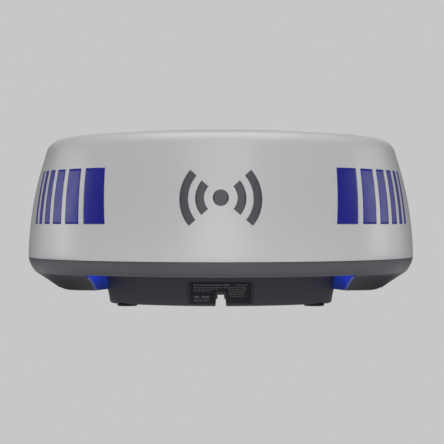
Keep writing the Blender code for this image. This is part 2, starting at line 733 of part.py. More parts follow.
def make_bearing(name, low):
    """Deep groove ball bearing: two races and the caged balls between them."""
    middle = low + RACE_W / 2
    pitch = (RACE_BORE + RACE_R) / 2
    groove = BALL_R + GAP
    land = 2.65
    half = math.degrees(math.acos(land / groove))
    high = low + RACE_W
    outer_groove = arc((pitch, middle), groove, -half, half, 4)
    inner_groove = arc((pitch, middle), groove, 180 - half, 180 + half, 4)
    outer = [(RACE_R, high), (RACE_R, low), (pitch + land, low), *outer_groove, (pitch + land, high)]
    inner = [(pitch - land, high), *inner_groove, (pitch - land, low), (RACE_BORE, low), (RACE_BORE, high)]
    turned(f"{name}_outer_race", outer, STEEL)
    turned(f"{name}_inner_race", inner, STEEL)
    cage = ring(f"{name}_ball_cage", pitch - 0.8, pitch + 0.8, middle - 2, middle + 2, BRASS)
    for i in range(BALL_COUNT):
        angle = 2 * math.pi * i / BALL_COUNT
        join(cage, ball(f"{name}_ball_{i + 1}", pitch * math.cos(angle), pitch * math.sin(angle), middle))


def ball(name, x, y, z):
    mesh = bpy.data.meshes.new(name)
    work = bmesh.new()
    bmesh.ops.create_uvsphere(work, u_segments=6, v_segments=5, radius=BALL_R * MM)
    work.to_mesh(mesh)
    work.free()
    obj = bpy.data.objects.new(name, mesh)
    obj.location = (x * MM, y * MM, z * MM)
    return place(obj, None, cutter=True)


def make_spindle():
    shoulder_z = UPPER_BEARING_Z + RACE_W + GAP
    shoulder_top = HOUSING_TOP_Z + 3.6
    top_z = TURNTABLE_Z - GAP
    profile = [(SPINDLE_R, top_z), (SPINDLE_R, shoulder_top), (19.5, shoulder_top),
               (19.5, shoulder_z), (SPINDLE_R, shoulder_z), (SPINDLE_R, 54),
               (SPINDLE_BORE, 54), (SPINDLE_BORE, top_z)]
    turned("spindle", profile, STEEL)
    ring("spindle_nut", RACE_BORE, 19.0, 54.6, LOWER_BEARING_Z - GAP, STEEL, 24)
    stator = [(7.6, 80), (7.6, 53), (20, 53), (20, FLOOR_Z + GAP), (0, FLOOR_Z + GAP)]
    turned("rotary_joint_stator", [(0, 80)] + stator, BRASS, 24)
    slip = SPINDLE_BORE - GAP
    rotor = [(0, 125.4), (3.2, 125.4), (3.2, 121.4), (slip, 121.4), (slip, 80.6), (0, 80.6)]
    turned("rotary_joint_rotor", rotor, BRASS, 24)


# ---------------------------------------------------------------- belt drive

def pitch_radius(teeth):
    return teeth * TOOTH_PITCH / (2 * math.pi)


def toothed_outline(teeth, centre=(0, 0)):
    tip = pitch_radius(teeth) - 0.4
    root = tip - TOOTH_DEPTH
    points = []
    for i in range(teeth):
        for share, radius in ((-0.30, root), (-0.20, tip), (0.20, tip), (0.30, root)):
            angle = 2 * math.pi * (i + share) / teeth
            points.append((centre[0] + radius * math.cos(angle), centre[1] + radius * math.sin(angle)))
    return points


def belt_loop(grow):
    """Loop round both pulleys, outside their teeth by grow."""
    big = pitch_radius(DRIVEN_TEETH) + grow
    small = pitch_radius(MOTOR_TEETH) + grow
    lean = math.degrees(math.asin((big - small) / MOTOR_Y))
    around_motor = arc((0, MOTOR_Y), small, lean, 180 - lean, 8)
    around_pulley = arc((0, 0), big, 180 - lean, 360 + lean, 30)
    return around_motor + around_pulley


def make_pulleys():
    bore = circle((0, 0), SPINDLE_R + GAP, MID_STEPS)
    windows = [circle((31 * math.cos(a), 31 * math.sin(a)), 9.5, 12)
               for a in (math.pi / 6 + i * math.pi / 3 for i in range(6))]
    plate("driven_pulley", [toothed_outline(DRIVEN_TEETH), bore, *windows], *PULLEY_Z, BLACK_PLASTIC)
    rod("index_magnet", 3.0, PULLEY_Z[0] - 3.4, PULLEY_Z[0] - GAP, STEEL, 16, (-42, 0))

    bore = circle((0, MOTOR_Y), MOTOR_BORE, 16)
    teeth = toothed_outline(MOTOR_TEETH, (0, MOTOR_Y))
    small = plate("motor_pulley", [teeth, bore], 105.9, 118.1, ALUMINIUM)
    for name, low in (("motor_flange_low", 105.3), ("motor_flange_high", 117.5)):
        join(small, ring(name, MOTOR_BORE, 12.6, low, low + 1.2, steps=18, at=(0, MOTOR_Y), cutter=True))
    plate("drive_belt", [belt_loop(BELT_THICKNESS), belt_loop(0)], 108, 116, BLACK_RUBBER)


def make_motor():
    low = (-MOTOR_HALF, MOTOR_Y - MOTOR_HALF)
    high = (MOTOR_HALF, MOTOR_Y + MOTOR_HALF)
    body = plate("motor_body", [rounded_box_outline(low, high, 4, 1)], *MOTOR_Z, BLACK_PLASTIC)
    spigot_top = MOTOR_Z[1] + 2
    join(body, rod("motor_spigot", 11.0, MOTOR_Z[1] - 1, spigot_top, steps=24, at=(0, MOTOR_Y), cutter=True))
    cut(body, rod("motor_bore", MOTOR_BORE, 70, spigot_top + 3, steps=16, at=(0, MOTOR_Y), cutter=True))
    rod("motor_shaft", MOTOR_BORE - GAP, 70.5, 119.5, STEEL, 16, (0, MOTOR_Y))


def make_motor_bracket():
    """Bent sheet bridge that carries the motor from its top face."""
    low = FLOOR_Z + GAP
    inside = BRACKET_LEG - BRACKET_SHEET
    half = [(BRACKET_FOOT, low), (BRACKET_FOOT, low + BRACKET_SHEET), (BRACKET_LEG, low + BRACKET_SHEET),
            (BRACKET_LEG, BRACKET_TOP_Z)]
    under = [(inside, BRACKET_TOP_Z - BRACKET_SHEET), (inside, low)]
    section = half + [(-x, z) for x, z in reversed(half)] + [(-x, z) for x, z in reversed(under)] + under
    reach = MOTOR_HALF + 1.9
    bracket = plate("motor_bracket", [section], -MOTOR_Y - reach, -MOTOR_Y + reach, ALUMINIUM,
                    turn=(math.pi / 2, 0, 0))
    cut(bracket, rod("bracket_hole", 11.4, 90, 105, steps=24, at=(0, MOTOR_Y), cutter=True))


# ---------------------------------------------------------------- antenna

def make_turntable():
    hub = circle((0, 0), SPINDLE_BORE + 0.8, 24)
    windows = [circle((38 * math.cos(a), 38 * math.sin(a)), 8.5, 12)
               for a in (i * math.pi / 3 for i in range(6))]
    outer = circle((0, 0), TURNTABLE_R, 40)
    disc = plate("turntable", [outer, hub, *windows], TURNTABLE_Z, TURNTABLE_Z + 3, ALUMINIUM)
    slot = rounded_box_outline((-9, TURNTABLE_Z + 3.5), (9, TURNTABLE_Z + 15), 2, 2)
    port = circle((0, FEED_Z), 7, 16)
    panel = [(-52, TURNTABLE_Z + 1), (52, TURNTABLE_Z + 1), (52, 138), (40, 172), (-40, 172), (-52, 138)]
    back = -ANTENNA_BACK_Y + GAP
    upstand = plate("upstand", [panel, slot, port], back, back + UPSTAND_THICKNESS,
                    turn=(math.pi / 2, 0, 0), cutter=True)
    join(disc, upstand)


def nose_outline(depth):
    """Section of the antenna's front cover in the YZ plane, pushed in by depth."""
    low, high = ANTENNA_Z
    middle = (low + high) / 2
    half = (high - low) / 2 - depth
    straight = ANTENNA_FRONT_Y + GAP + 4
    reach = ANTENNA_NOSE_Y - straight - depth
    points = []
    for i in range(13):
        angle = math.radians(-90 + 15 * i)
        points.append((straight + reach * math.cos(angle), middle + half * math.sin(angle)))
    back = ANTENNA_FRONT_Y + GAP - (5 if depth else 0)
    return points + [(back, middle + half), (back, middle - half)]


def make_antenna():
    low, high = ANTENNA_Z
    wall = ANTENNA_WALL
    frame = box("antenna_frame", (-ANTENNA_HALF, ANTENNA_BACK_Y, low), (ANTENNA_HALF, ANTENNA_FRONT_Y, high),
                ALUMINIUM)
    cut(frame, box("frame_hollow", (-ANTENNA_HALF + wall, ANTENNA_BACK_Y + 3, low + wall),
                   (ANTENNA_HALF - wall, ANTENNA_FRONT_Y + 5, high - wall), cutter=True))
    feed = rod("feed_port", 4.0, -5, 30, steps=16, cutter=True)
    feed.rotation_euler = (math.pi / 2, 0, 0)
    feed.location = (0, 0, FEED_Z * MM)
    cut(frame, feed)
    box("antenna_array", (-ANTENNA_HALF + wall + 1, 2, low + wall + 0.5),
        (ANTENNA_HALF - wall - 1, 4, high - wall - 0.5), GREEN_BOARD)
    along_x = (math.pi / 2, 0, math.pi / 2)
    cover = plate("antenna_cover", [nose_outline(0)], -ANTENNA_HALF, ANTENNA_HALF, FOAM_WHITE, turn=along_x)
    cut(cover, plate("cover_hollow", [nose_outline(2)], -ANTENNA_HALF + 2, ANTENNA_HALF - 2, turn=along_x,
                     cutter=True))


def make_feed_cable():
    """Coaxial jumper from the rotary joint, through the upstand, to the antenna's back."""
    bend = (FEED_Z - FEED_LOW_Z) / 2
    bend_y = -26.0
    loop = arc((bend_y, FEED_LOW_Z + bend), bend, -90, -270, 10)
    path = [(0, -3.6, FEED_LOW_Z)] + [(0, y, z) for y, z in loop] + [(0, -6, FEED_Z)]
    wire("feed_cable", path, 1.8, BLACK_RUBBER)


# ---------------------------------------------------------------- electronics

def make_electronics():
    board = (BOARD_Z, BOARD_Z + BOARD_THICKNESS)
    plate("main_board", [rounded_box_outline(*MAIN_BOARD, 3, 2)], *board, GREEN_BOARD)
    plate("power_board", [rounded_box_outline(*POWER_BOARD, 3, 2)], *board, GREEN_BOARD)
    sensor_top = PULLEY_Z[0] - 4.6
    box("index_sensor", (SENSOR_X, -7, 94), (-HOUSING_R - GAP - 0.2, 7, sensor_top), BLACK_PLASTIC)

    low = (TRANSCEIVER_X[0], -TRANSCEIVER_HALF_Y, FLOOR_Z + GAP)
    high = (TRANSCEIVER_X[1], TRANSCEIVER_HALF_Y, TRANSCEIVER_TOP_Z)
    case = box("transceiver", low, high, ALUMINIUM)
    for i in range(FIN_COUNT):
        x = TRANSCEIVER_X[0] + 8 + i * FIN_PITCH
        gap_high = (x + FIN_GAP, high[1] + 6, high[2] + 6)
        gap = box(f"fin_gap_{i + 1}", (x, low[1] - 6, FIN_FOOT_Z), gap_high, cutter=True)
        cut(case, gap)


def build():
    make_radome()
    make_radome_screws()
    make_base()
    make_feet()
    make_label()
    make_accent_lights()
    make_sockets()
    make_cable_clamp()
    make_bearing_housing()
    make_bearing("lower_bearing", LOWER_BEARING_Z)
    make_bearing("upper_bearing", UPPER_BEARING_Z)
    make_spindle()
    make_pulleys()
    make_motor()
    make_motor_bracket()
    make_turntable()
    make_antenna()
    make_feed_cable()
    make_electronics()


build()
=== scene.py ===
"""Looks of the dome radar antenna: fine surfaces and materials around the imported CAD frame.

Shapes are worked out in millimetres and turned into metres when a mesh is made. +Z is up, -Y is the
cable side, which faces the camera.
"""
import json
import math
import random

import bmesh
import bpy
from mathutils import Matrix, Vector
from mathutils.geometry import tessellate_polygon


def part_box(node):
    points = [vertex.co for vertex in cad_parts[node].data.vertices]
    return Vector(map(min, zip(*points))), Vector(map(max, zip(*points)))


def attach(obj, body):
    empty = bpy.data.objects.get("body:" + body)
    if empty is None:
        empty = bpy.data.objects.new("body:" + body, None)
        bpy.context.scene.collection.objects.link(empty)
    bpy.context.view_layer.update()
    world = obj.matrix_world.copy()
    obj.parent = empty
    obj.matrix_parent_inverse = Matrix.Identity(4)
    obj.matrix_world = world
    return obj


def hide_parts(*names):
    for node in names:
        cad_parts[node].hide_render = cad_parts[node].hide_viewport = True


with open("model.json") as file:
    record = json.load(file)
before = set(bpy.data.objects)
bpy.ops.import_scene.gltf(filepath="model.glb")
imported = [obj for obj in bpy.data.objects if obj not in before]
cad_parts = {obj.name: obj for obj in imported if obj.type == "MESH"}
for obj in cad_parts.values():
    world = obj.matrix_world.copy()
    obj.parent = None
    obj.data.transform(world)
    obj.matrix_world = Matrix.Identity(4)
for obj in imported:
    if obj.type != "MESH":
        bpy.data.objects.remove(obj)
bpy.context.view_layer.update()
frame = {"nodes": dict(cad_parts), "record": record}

MM = 0.001
MERGE = 0.00001            # metres within which points are joined after a cut
FINE = 256                 # segments round the shells
PAD_STEPS = 64             # segments round a foot pad
PAD_HOLE_STEPS = 48
SMALL = 32                 # segments round screws, bosses and holes


def edges_mm(node):
    """Lowest and highest corner of a CAD node in millimetres."""
    low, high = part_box(node)
    return low / MM, high / MM


# Radome shell
RADOME_LOW, RADOME_HIGH = edges_mm("radome_cover")
SHELL_R = 255.0
SHELL_WALL_ARC = 440.0
SHELL_WIDEST_Z = 57.0
SHELL_SHOULDER = (210.5, 194.1)
SHELL_SHOULDER_R = 21.8
SHELL_SHOULDER_FROM = 83.6
SHELL_SHOULDER_TO = 19.1
SHELL_CROWN_ARC = 1916.0
SHELL_TOP_Z = RADOME_HIGH.z
SHELL_THICKNESS = 4.0
SHELL_FLANGE_R = 236.0
SHELL_FLANGE_H = 4.0
SHELL_BOSS_R = 7.0
SHELL_BOSS_TOP_Z = 81.0
SHELL_BOSS_ROUND = 0.6
SHELL_HOLE_TOP_Z = 78.0
SEAM_Z = RADOME_LOW.z
SEAM_ROUND = 0.7

# Printed film on the radome: slanting stripes at the sides and a radio-wave sign on the cable side
FILM_LIFT = 0.10
FILM_THICKNESS = 0.07
FILM_STEP = 3.0            # spacing of the cuts that let the film bend round the wall
STRIPE_Z = (106.0, 173.0)
STRIPE_FROM_DEG = 32.6
STRIPE_WIDTHS = (34, 26, 20, 15, 11, 8)
STRIPE_SPACE = 9
STRIPE_SLANT = 10
SIGN_Z = 136.5
SIGN_DOT_R = 9.5
SIGN_ARCS_R = (25.0, 44.0)
SIGN_STROKE = 5.2          # half the width of an arc
SIGN_SPREAD = 41           # degrees each side of level

# Base casting
RIM_TOP_Z = 62.3
RIM_TOP_R = 254.8
RIM_LOW = (247.0, 45.2)
RIM_BULGE = 1.2
RIM_INSIDE_R = 239.0
CONE_TOP = (245.4, 43.3)
CONE_DEG = 29.9
KEEL_Z = 21.15              # flat underside of the two pods, a squared oval
KEEL_X = 196.6
KEEL_Y = 87.0
KEEL_POWER = 9.0
BOWL_FILLET = 31.8
CASTING = 3.5
FLOOR_Z = 49.0
FLOOR_THICKNESS = 4.5
PEDESTAL_Z = 2.7
PEDESTAL_HALF = 145.1
PEDESTAL_REAR_Y = -112.0
PEDESTAL_FRONT_Y = 139.5
PEDESTAL_ARC = 208.0
PEDESTAL_CORNER = 24.0
PEDESTAL_EDGE = 4.5
PEDESTAL_TOP_Z = 46.0
FLARE_LINEAR = 0.116
FLARE_SQUARE = 0.0053
BAY_WALL = 9.0
NICHE_X = 161.5
NICHE_Y = -98.0
NICHE_END = (143.0, -42.0)
NICHE_CURVE = 1.3           # how gently the wall turns in from straight
NICHE_STEPS = 6
NICHE_CEILING_Z = 45.0
LENS_THICKNESS = 4.0
LENS_Y = (-190, -44)
WINDOW_DEPTH = 7.5
WINDOW_Y = (-86, -70)
WINDOW_Z = (24, 40)
GAP = 0.3

FOOT_X = 116.5
FOOT_REAR_Y = -57.0
FOOT_FRONT_Y = 84.5
FOOT_SHIFT = 4.5           # each pad sits outboard of its bolt by this much
FOOT_R = 13.0
FOOT_HOLE_R = 7.0
BOSS_R = 14.0
INSERT_R = 6.0
INSERT_TOP_Z = 20.0
FIXING_X = 62.0
FIXING_Y = 224.6
FIXING_BOSS_R = 8.0
FIXING_R = 2.5
FIXING_HEAD_R = 4.8
FIXING_HEAD_Z = 49.5
SEAL_R = 243.5
GROOVE_HALF = 2.0
GROOVE_DEPTH = 2.8
CLAMP_AT = (24, -88)
CLAMP_BOSS_R = 5.5

NOTCH_TOP_Z = 17.9
NOTCH_STEP_Z = 11.8
NOTCH_HALF_TOP = 4.1
NOTCH_HALF_STEP = 5.8
NOTCH_HALF_FOOT = 6.8
REAR_CUT = (90, 140)        # depths behind the axis that take in the whole rear wall
LABEL_HALF = 38.5
LABEL_Z = (7.0, 32.9)
RECESS_HALF = 41.6
RECESS_Z = (5.6, 34.0)
RECESS_DEPTH = 1.5
LABEL_SKIN = 0.7
LABEL_INK_SKIN = 0.10
LABEL_ROWS = (              # height, thickness, left end, right end of each row of bars
    (28.7, 1.8, -34, 12), (28.9, 1.3, 17, 34), (26.0, 1.0, -34, 34), (23.9, 0.9, -34, -2),
    (23.9, 0.9, 9, 34), (21.6, 0.9, -34, -12), (21.6, 0.9, 10, 31), (19.4, 0.9, 10, 33),
    (17.2, 0.9, 10, 28), (15.0, 0.9, 12, 33), (13.2, 2.6, -33, -27), (13.2, 2.6, -24, -15),
    (10.6, 0.9, -34, -14), (8.8, 0.9, -34, -18),
)
LABEL_ARCH_HALF = 7.1
LABEL_ARCH_Z = 21.3
SOCKET_X = 54.0
SOCKET_Y = -78.0
SOCKET_HOLE_R = 9.0
VENT_AT = (62.0, 20.0)
VENT_HOLE_R = 5.0

# Small parts on the boards and in the sockets
SEAT = 0.02                # clearance between a board and what stands on it
LEG_PITCH = 2.5
LEG_REACH = 1.2
MAIN_CHIPS = (              # offset from the board's middle, then width, depth and height
    (-6, 12, 22, 22, 2.2), (18, 30, 14, 10, 1.8), (-22, -22, 16, 11, 1.8),
    (8, -20, 12, 12, 1.6), (-20, 44, 18, 8, 2.6),
)
PIN_CIRCLE_R = 3.6
PIN_R = 0.7
SOCKET_PINS = (("network", 5), ("power", 4))
PATCHES = 24
PATCH_HALF = 6
PATCH_ROW_Z = 13           # height of a row of patches above or below the middle
COPPER = (0.01, 0.12)      # how far copper stands off the board


# ---------------------------------------------------------------- outlines

def arc(centre, radius, start, end, count):
    angles = [math.radians(start + (end - start) * i / count) for i in range(count + 1)]
    return [(centre[0] + radius * math.cos(a), centre[1] + radius * math.sin(a)) for a in angles]


def circle(centre, radius, count=SMALL):
    return arc(centre, radius, 0, 360, count)[:-1]


def rounded_box_outline(low, high, radius, count=6):
    corners = [((high[0] - radius, high[1] - radius), 0), ((low[0] + radius, high[1] - radius), 90),
               ((low[0] + radius, low[1] + radius), 180), ((high[0] - radius, low[1] + radius), 270)]
    points = []
    for centre, start in corners:
        points += arc(centre, radius, start, start + 90, count)
    return points


# ---------------------------------------------------------------- meshes

def add_object(name, work):
    """Turn a bmesh whose coordinates are millimetres into a linked object in metres."""
    bmesh.ops.scale(work, vec=(MM, MM, MM), verts=work.verts)
    bmesh.ops.recalc_face_normals(work, faces=work.faces)
    mesh = bpy.data.meshes.new(name)
    work.to_mesh(mesh)
    work.free()
    obj = bpy.data.objects.new(name, mesh)
    bpy.context.scene.collection.objects.link(obj)
    return obj


def turned(name, profile, steps, at=(0, 0)):
    """Solid about a vertical axis from (radius, z) points; a radius of 0 is a pole, and a radius can be a
    function of the angle."""
    work = bmesh.new()
    rings = []
    for r, z in profile:
        if r == 0:
            rings.append([work.verts.new((at[0], at[1], z))])
            continue
        angles = [2 * math.pi * i / steps for i in range(steps)]
        reach = [r(a) if callable(r) else r for a in angles]
        rings.append([work.verts.new((at[0] + d * math.cos(a), at[1] + d * math.sin(a), z))
                      for a, d in zip(angles, reach)])
    pairs = list(zip(rings, rings[1:]))
    if profile[0][0] != 0:
        pairs.append((rings[-1], rings[0]))
    for one, two in pairs:
        for i in range(steps):
            j = (i + 1) % steps
            corners = [one[i % len(one)], one[j % len(one)], two[j % len(two)], two[i % len(two)]]
            unique = list(dict.fromkeys(corners))
            work.faces.new(unique)
    return add_object(name, work)


def rod(name, radius, low, high, steps=SMALL, at=(0, 0), edge=0.0):
    if edge:
        outside = [(radius - edge, high), (radius, high - edge), (radius, low + edge), (radius - edge, low)]
    else:
        outside = [(radius, high), (radius, low)]
    return turned(name, [(0, high)] + outside + [(0, low)], steps, at)


def prism(name, outlines, low, high, place=lambda u, v, w: (u, v, w)):
    """Flat outline with holes, thickened from low to high. place maps (u, v, w) to x, y, z."""
    work = bmesh.new()
    flat = [[Vector((u, v, 0)) for u, v in outline] for outline in outlines]
    points = [p for outline in flat for p in outline]
    bottom = [work.verts.new(place(p.x, p.y, low)) for p in points]
    top = [work.verts.new(place(p.x, p.y, high)) for p in points]
    if len(outlines) == 1:
        work.faces.new(top)
        work.faces.new(bottom[::-1])
    else:
        for a, b, c in tessellate_polygon(flat):
            work.faces.new((top[a], top[b], top[c]))
            work.faces.new((bottom[c], bottom[b], bottom[a]))
    start = 0
    for outline in flat:
        count = len(outline)
        for i in range(count):
            a, b = start + i, start + (i + 1) % count
            work.faces.new((bottom[a], bottom[b], top[b], top[a]))
        start += count
    return add_object(name, work)


def rear_view(u, v, w):
    """Outline drawn as seen along +Y, thickness running back along -Y."""
    return (u, -w, v)


def loft(name, rings):
    work = bmesh.new()
    levels = [[work.verts.new(point) for point in level] for level in rings]
    count = len(rings[0])
    for lower, upper in zip(levels, levels[1:]):
        for i in range(count):
            j = (i + 1) % count
            work.faces.new((lower[i], lower[j], upper[j], upper[i]))
    work.faces.new(levels[-1])
    work.faces.new(list(reversed(levels[0])))
    return add_object(name, work)


def block(name, low, high, edge=0.0):
    """Box between two corners, with rounded edges."""
    work = bmesh.new()
    bmesh.ops.create_cube(work, size=1.0)
    size = [high[i] - low[i] for i in range(3)]
    bmesh.ops.scale(work, vec=size, verts=work.verts)
    middle = [(high[i] + low[i]) / 2 for i in range(3)]
    bmesh.ops.translate(work, vec=middle, verts=work.verts)
    if edge:
        bmesh.ops.bevel(work, geom=work.edges[:], offset=edge, segments=2, affect="EDGES", profile=0.5)
    return add_object(name, work)


def bake_mesh(name, shape):
    """Evaluated copy of an object as a plain mesh object; the source is removed."""
    bpy.context.view_layer.update()
    graph = bpy.context.evaluated_depsgraph_get()
    mesh = bpy.data.meshes.new_from_object(shape.evaluated_get(graph))
    bpy.data.objects.remove(shape)
    mesh.name = name
    obj = bpy.data.objects.new(name, mesh)
    bpy.context.scene.collection.objects.link(obj)
    work = bmesh.new()
    work.from_mesh(mesh)
    bmesh.ops.remove_doubles(work, verts=work.verts, dist=MERGE)
    work.to_mesh(mesh)
    work.free()
    return obj


def boolean(obj, others, operation):
    """Apply Boolean steps to obj and remove the other objects."""
    name = obj.name
    for other in others:
        step = obj.modifiers.new(other.name, "BOOLEAN")
        step.object = other
        step.operation = operation
        step.solver = "EXACT"
    obj.name = name + "_source"
    result = bake_mesh(name, obj)
    for other in others:
        bpy.data.objects.remove(other)
    return result


def cut(obj, *others):
    return boolean(obj, others, "DIFFERENCE")


def join(obj, *others):
    return boolean(obj, others, "UNION")


def smooth(obj, angle=32):
    obj.data.shade_smooth()
    obj.data.set_sharp_from_angle(angle=math.radians(angle))
    return obj


def finish(obj, body, material, replaces=(), angle=32):
    """Shade, paint and hand a piece over to the body it rides on."""
    smooth(obj, angle)
    obj.data.materials.clear()
    obj.data.materials.append(material)
    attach(obj, body)
    if replaces:
        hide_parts(*replaces)
    return obj


# ---------------------------------------------------------------- materials

GRIME_SHARE = (0.10, 0.0)     # how much the gel coat is dulled at the two heights below, in metres
GRIME_Z = (0.063, 0.075)
RIM_HIGHLIGHT_FADE_BELOW = 0.0002      # painted highlight along the rim's lower edge, standing in for light caught by its rounded edge; distances in metres from that edge
RIM_HIGHLIGHT_HEIGHT = 0.0004
RIM_HIGHLIGHT_FADE_ABOVE = 0.0018
LENS_BRIGHT_Z = 0.042         # the lens is brightest at this height and fades along these depths
LENS_FADE_Y = (-0.098, -0.052)
LENS_DARK = (0.010, 0.018, 0.10)
LENS_LIT = (0.012, 0.036, 0.50)


class Nodes:
    """Small helper that adds and links shader nodes."""

    def __init__(self, name):
        self.material = bpy.data.materials.new(name)
        self.material.use_nodes = True
        self.tree = self.material.node_tree
        self.shader = self.tree.nodes["Principled BSDF"]
        self.coords = self.tree.nodes.new("ShaderNodeTexCoord")

    def add(self, kind, **values):
        node = self.tree.nodes.new(kind)
        for key, value in values.items():
            if hasattr(node, key):
                setattr(node, key, value)
            else:
                node.inputs[key].default_value = value
        return node

    def link(self, out, into):
        self.tree.links.new(out, into)

    def noise(self, scale, detail=4.0, rough=0.5, stretch=None):
        node = self.add("ShaderNodeTexNoise")
        node.inputs["Scale"].default_value = scale
        node.inputs["Detail"].default_value = detail
        node.inputs["Roughness"].default_value = rough
        source = self.coords.outputs["Object"]
        if stretch:
            mapping = self.add("ShaderNodeMapping")
            mapping.inputs["Scale"].default_value = stretch
            self.link(source, mapping.inputs["Vector"])
            source = mapping.outputs["Vector"]
        self.link(source, node.inputs["Vector"])
        return node.outputs["Fac"]

    def remap(self, value, low, high, from_low=0.3, from_high=0.7):
        node = self.add("ShaderNodeMapRange")
        node.inputs["From Min"].default_value = from_low
        node.inputs["From Max"].default_value = from_high
        node.inputs["To Min"].default_value = low
        node.inputs["To Max"].default_value = high
        self.link(value, node.inputs["Value"])
        return node.outputs["Result"]

    def mix(self, factor, one, two):
        node = self.add("ShaderNodeMix")
        node.data_type = "RGBA"
        for socket, value in ((node.inputs[6], one), (node.inputs[7], two)):
            if isinstance(value, tuple):
                socket.default_value = (*value, 1.0)
            else:
                self.link(value, socket)
        if isinstance(factor, float):
            node.inputs[0].default_value = factor
        else:
            self.link(factor, node.inputs[0])
        return node.outputs[2]

    def bump(self, height, strength, distance, normal=None):
        node = self.add("ShaderNodeBump")
        node.inputs["Strength"].default_value = strength
        node.inputs["Distance"].default_value = distance
        self.link(height, node.inputs["Height"])
        if normal:
            self.link(normal, node.inputs["Normal"])
        return node.outputs["Normal"]

    def soft_edges(self, radius):
        node = self.add("ShaderNodeBevel", samples=4)
        node.inputs["Radius"].default_value = radius
        return node.outputs["Normal"]

    def math(self, operation, one, two):
        node = self.add("ShaderNodeMath", operation=operation)
        for socket, value in zip(node.inputs, (one, two)):
            if isinstance(value, (int, float)):
                socket.default_value = value
            else:
                self.link(value, socket)
        return node.outputs[0]


def surface(name, colour, dark, roughness, metallic=0.0, tone_scale=12.0, grain=900.0, grain_depth=0.00003,
            rough_spread=0.08, edge=0.0, coat=0.0, stretch=None):
    """General finish: slow colour drift, roughness drift and a fine grain, with softened edges."""
    n = Nodes(name)
    tone = n.remap(n.noise(tone_scale, 5.0, 0.6), 0.0, 1.0)
    n.link(n.mix(tone, dark, colour), n.shader.inputs["Base Color"])
    haze = n.noise(tone_scale * 6, 6.0, 0.6, stretch)
    low, high = max(0.03, roughness - rough_spread), roughness + rough_spread
    n.link(n.remap(haze, low, high), n.shader.inputs["Roughness"])
    n.shader.inputs["Metallic"].default_value = metallic
    n.shader.inputs["Coat Weight"].default_value = coat
    base = n.soft_edges(edge) if edge else None
    n.link(n.bump(n.noise(grain, 3.0, 0.6, stretch), 0.5, grain_depth, base), n.shader.inputs["Normal"])
    return n.material


def radome_paint():
    """White gel coat: glossy, faint orange peel, very slight weathering towards the bottom edge."""
    n = Nodes("radome_gel_coat")
    cloud = n.remap(n.noise(6.0, 2.0, 0.5), 0.0, 1.0, 0.1, 0.9)
    clean = n.mix(cloud, (0.782, 0.783, 0.792), (0.797, 0.797, 0.806))
    split = n.add("ShaderNodeSeparateXYZ")
    n.link(n.coords.outputs["Object"], split.inputs[0])
    streaks = n.noise(14.0, 3.0, 0.5, (1.0, 1.0, 0.12))
    grime = n.remap(split.outputs["Z"], *GRIME_SHARE, *GRIME_Z)
    grime = n.math("MULTIPLY", grime, n.remap(streaks, 0.2, 1.0))
    n.link(n.mix(grime, clean, (0.60, 0.60, 0.60)), n.shader.inputs["Base Color"])
    n.link(n.remap(n.noise(9.0, 2.0, 0.5), 0.27, 0.31, 0.1, 0.9), n.shader.inputs["Roughness"])
    n.shader.inputs["Specular IOR Level"].default_value = 0.5
    peel = n.noise(230.0, 2.0, 0.5)
    n.link(n.bump(peel, 0.10, 0.00004), n.shader.inputs["Normal"])
    return n.material


def casting_paint():
    """Dark grey powder coat with a fine pebble texture and softened casting edges, plus a painted highlight: a
    thin lighter band along the rim's lower edge.
    """
    n = Nodes("casting_powder_coat")
    tone = n.remap(n.noise(9.0, 5.0, 0.6), 0.0, 1.0)
    body = n.mix(tone, (0.106, 0.106, 0.126), (0.118, 0.118, 0.139))
    speck = n.remap(n.noise(1500.0, 2.0, 0.5), 0.0, 1.0, 0.55, 0.75)
    split = n.add("ShaderNodeSeparateXYZ")
    n.link(n.coords.outputs["Object"], split.inputs[0])
    # painted highlight: a thin lighter band just above the rim's lower edge, where its rounded edge would catch
    # the light
    rim_low = RIM_LOW[1] * MM
    above = n.remap(split.outputs["Z"], 0.0, 1.0, rim_low - RIM_HIGHLIGHT_FADE_BELOW, rim_low)
    below = n.remap(split.outputs["Z"], 1.0, 0.0, rim_low + RIM_HIGHLIGHT_HEIGHT, rim_low + RIM_HIGHLIGHT_FADE_ABOVE)
    edge = n.math("MULTIPLY", above, below)
    speckled = n.mix(speck, body, (0.139, 0.139, 0.160))
    n.link(n.mix(edge, speckled, (0.165, 0.164, 0.186)), n.shader.inputs["Base Color"])
    n.link(n.remap(n.noise(40.0, 5.0, 0.6), 0.40, 0.52), n.shader.inputs["Roughness"])
    pebble = n.noise(1100.0, 3.0, 0.55)
    n.link(n.bump(pebble, 0.35, 0.00006, n.soft_edges(0.0009)), n.shader.inputs["Normal"])
    return n.material


def lens_material():
    """Clear blue lens lit from behind: the face on the pedestal's side glows, brightest along its top."""
    n = Nodes("accent_lens_blue")
    split = n.add("ShaderNodeSeparateXYZ")
    n.link(n.coords.outputs["Object"], split.inputs[0])
    facing = n.add("ShaderNodeNewGeometry")
    way = n.add("ShaderNodeSeparateXYZ")
    n.link(facing.outputs["True Normal"], way.inputs[0])
    height = n.remap(split.outputs["Z"], 0.0, 1.0, KEEL_Z * MM, LENS_BRIGHT_Z)
    depth = n.remap(split.outputs["Y"], 1.0, 0.35, *LENS_FADE_Y)
    sideways = n.math("ABSOLUTE", way.outputs["X"], 0.0)
    inner = n.remap(sideways, 0.10, 1.0, 0.55, 0.85)
    power = n.math("MULTIPLY", n.math("MULTIPLY", height, depth), inner)
    glow = n.mix(power, LENS_DARK, LENS_LIT)
    ripple = n.remap(n.noise(180.0, 2.0, 0.5), 0.72, 0.88)
    n.link(n.mix(0.5, LENS_DARK, glow), n.shader.inputs["Base Color"])
    n.link(glow, n.shader.inputs["Emission Color"])
    n.link(ripple, n.shader.inputs["Emission Strength"])
    n.link(n.remap(n.noise(60.0, 3.0, 0.5), 0.14, 0.24), n.shader.inputs["Roughness"])
    n.link(n.bump(n.noise(400.0, 2.0, 0.5), 0.15, 0.00004), n.shader.inputs["Normal"])
    return n.material


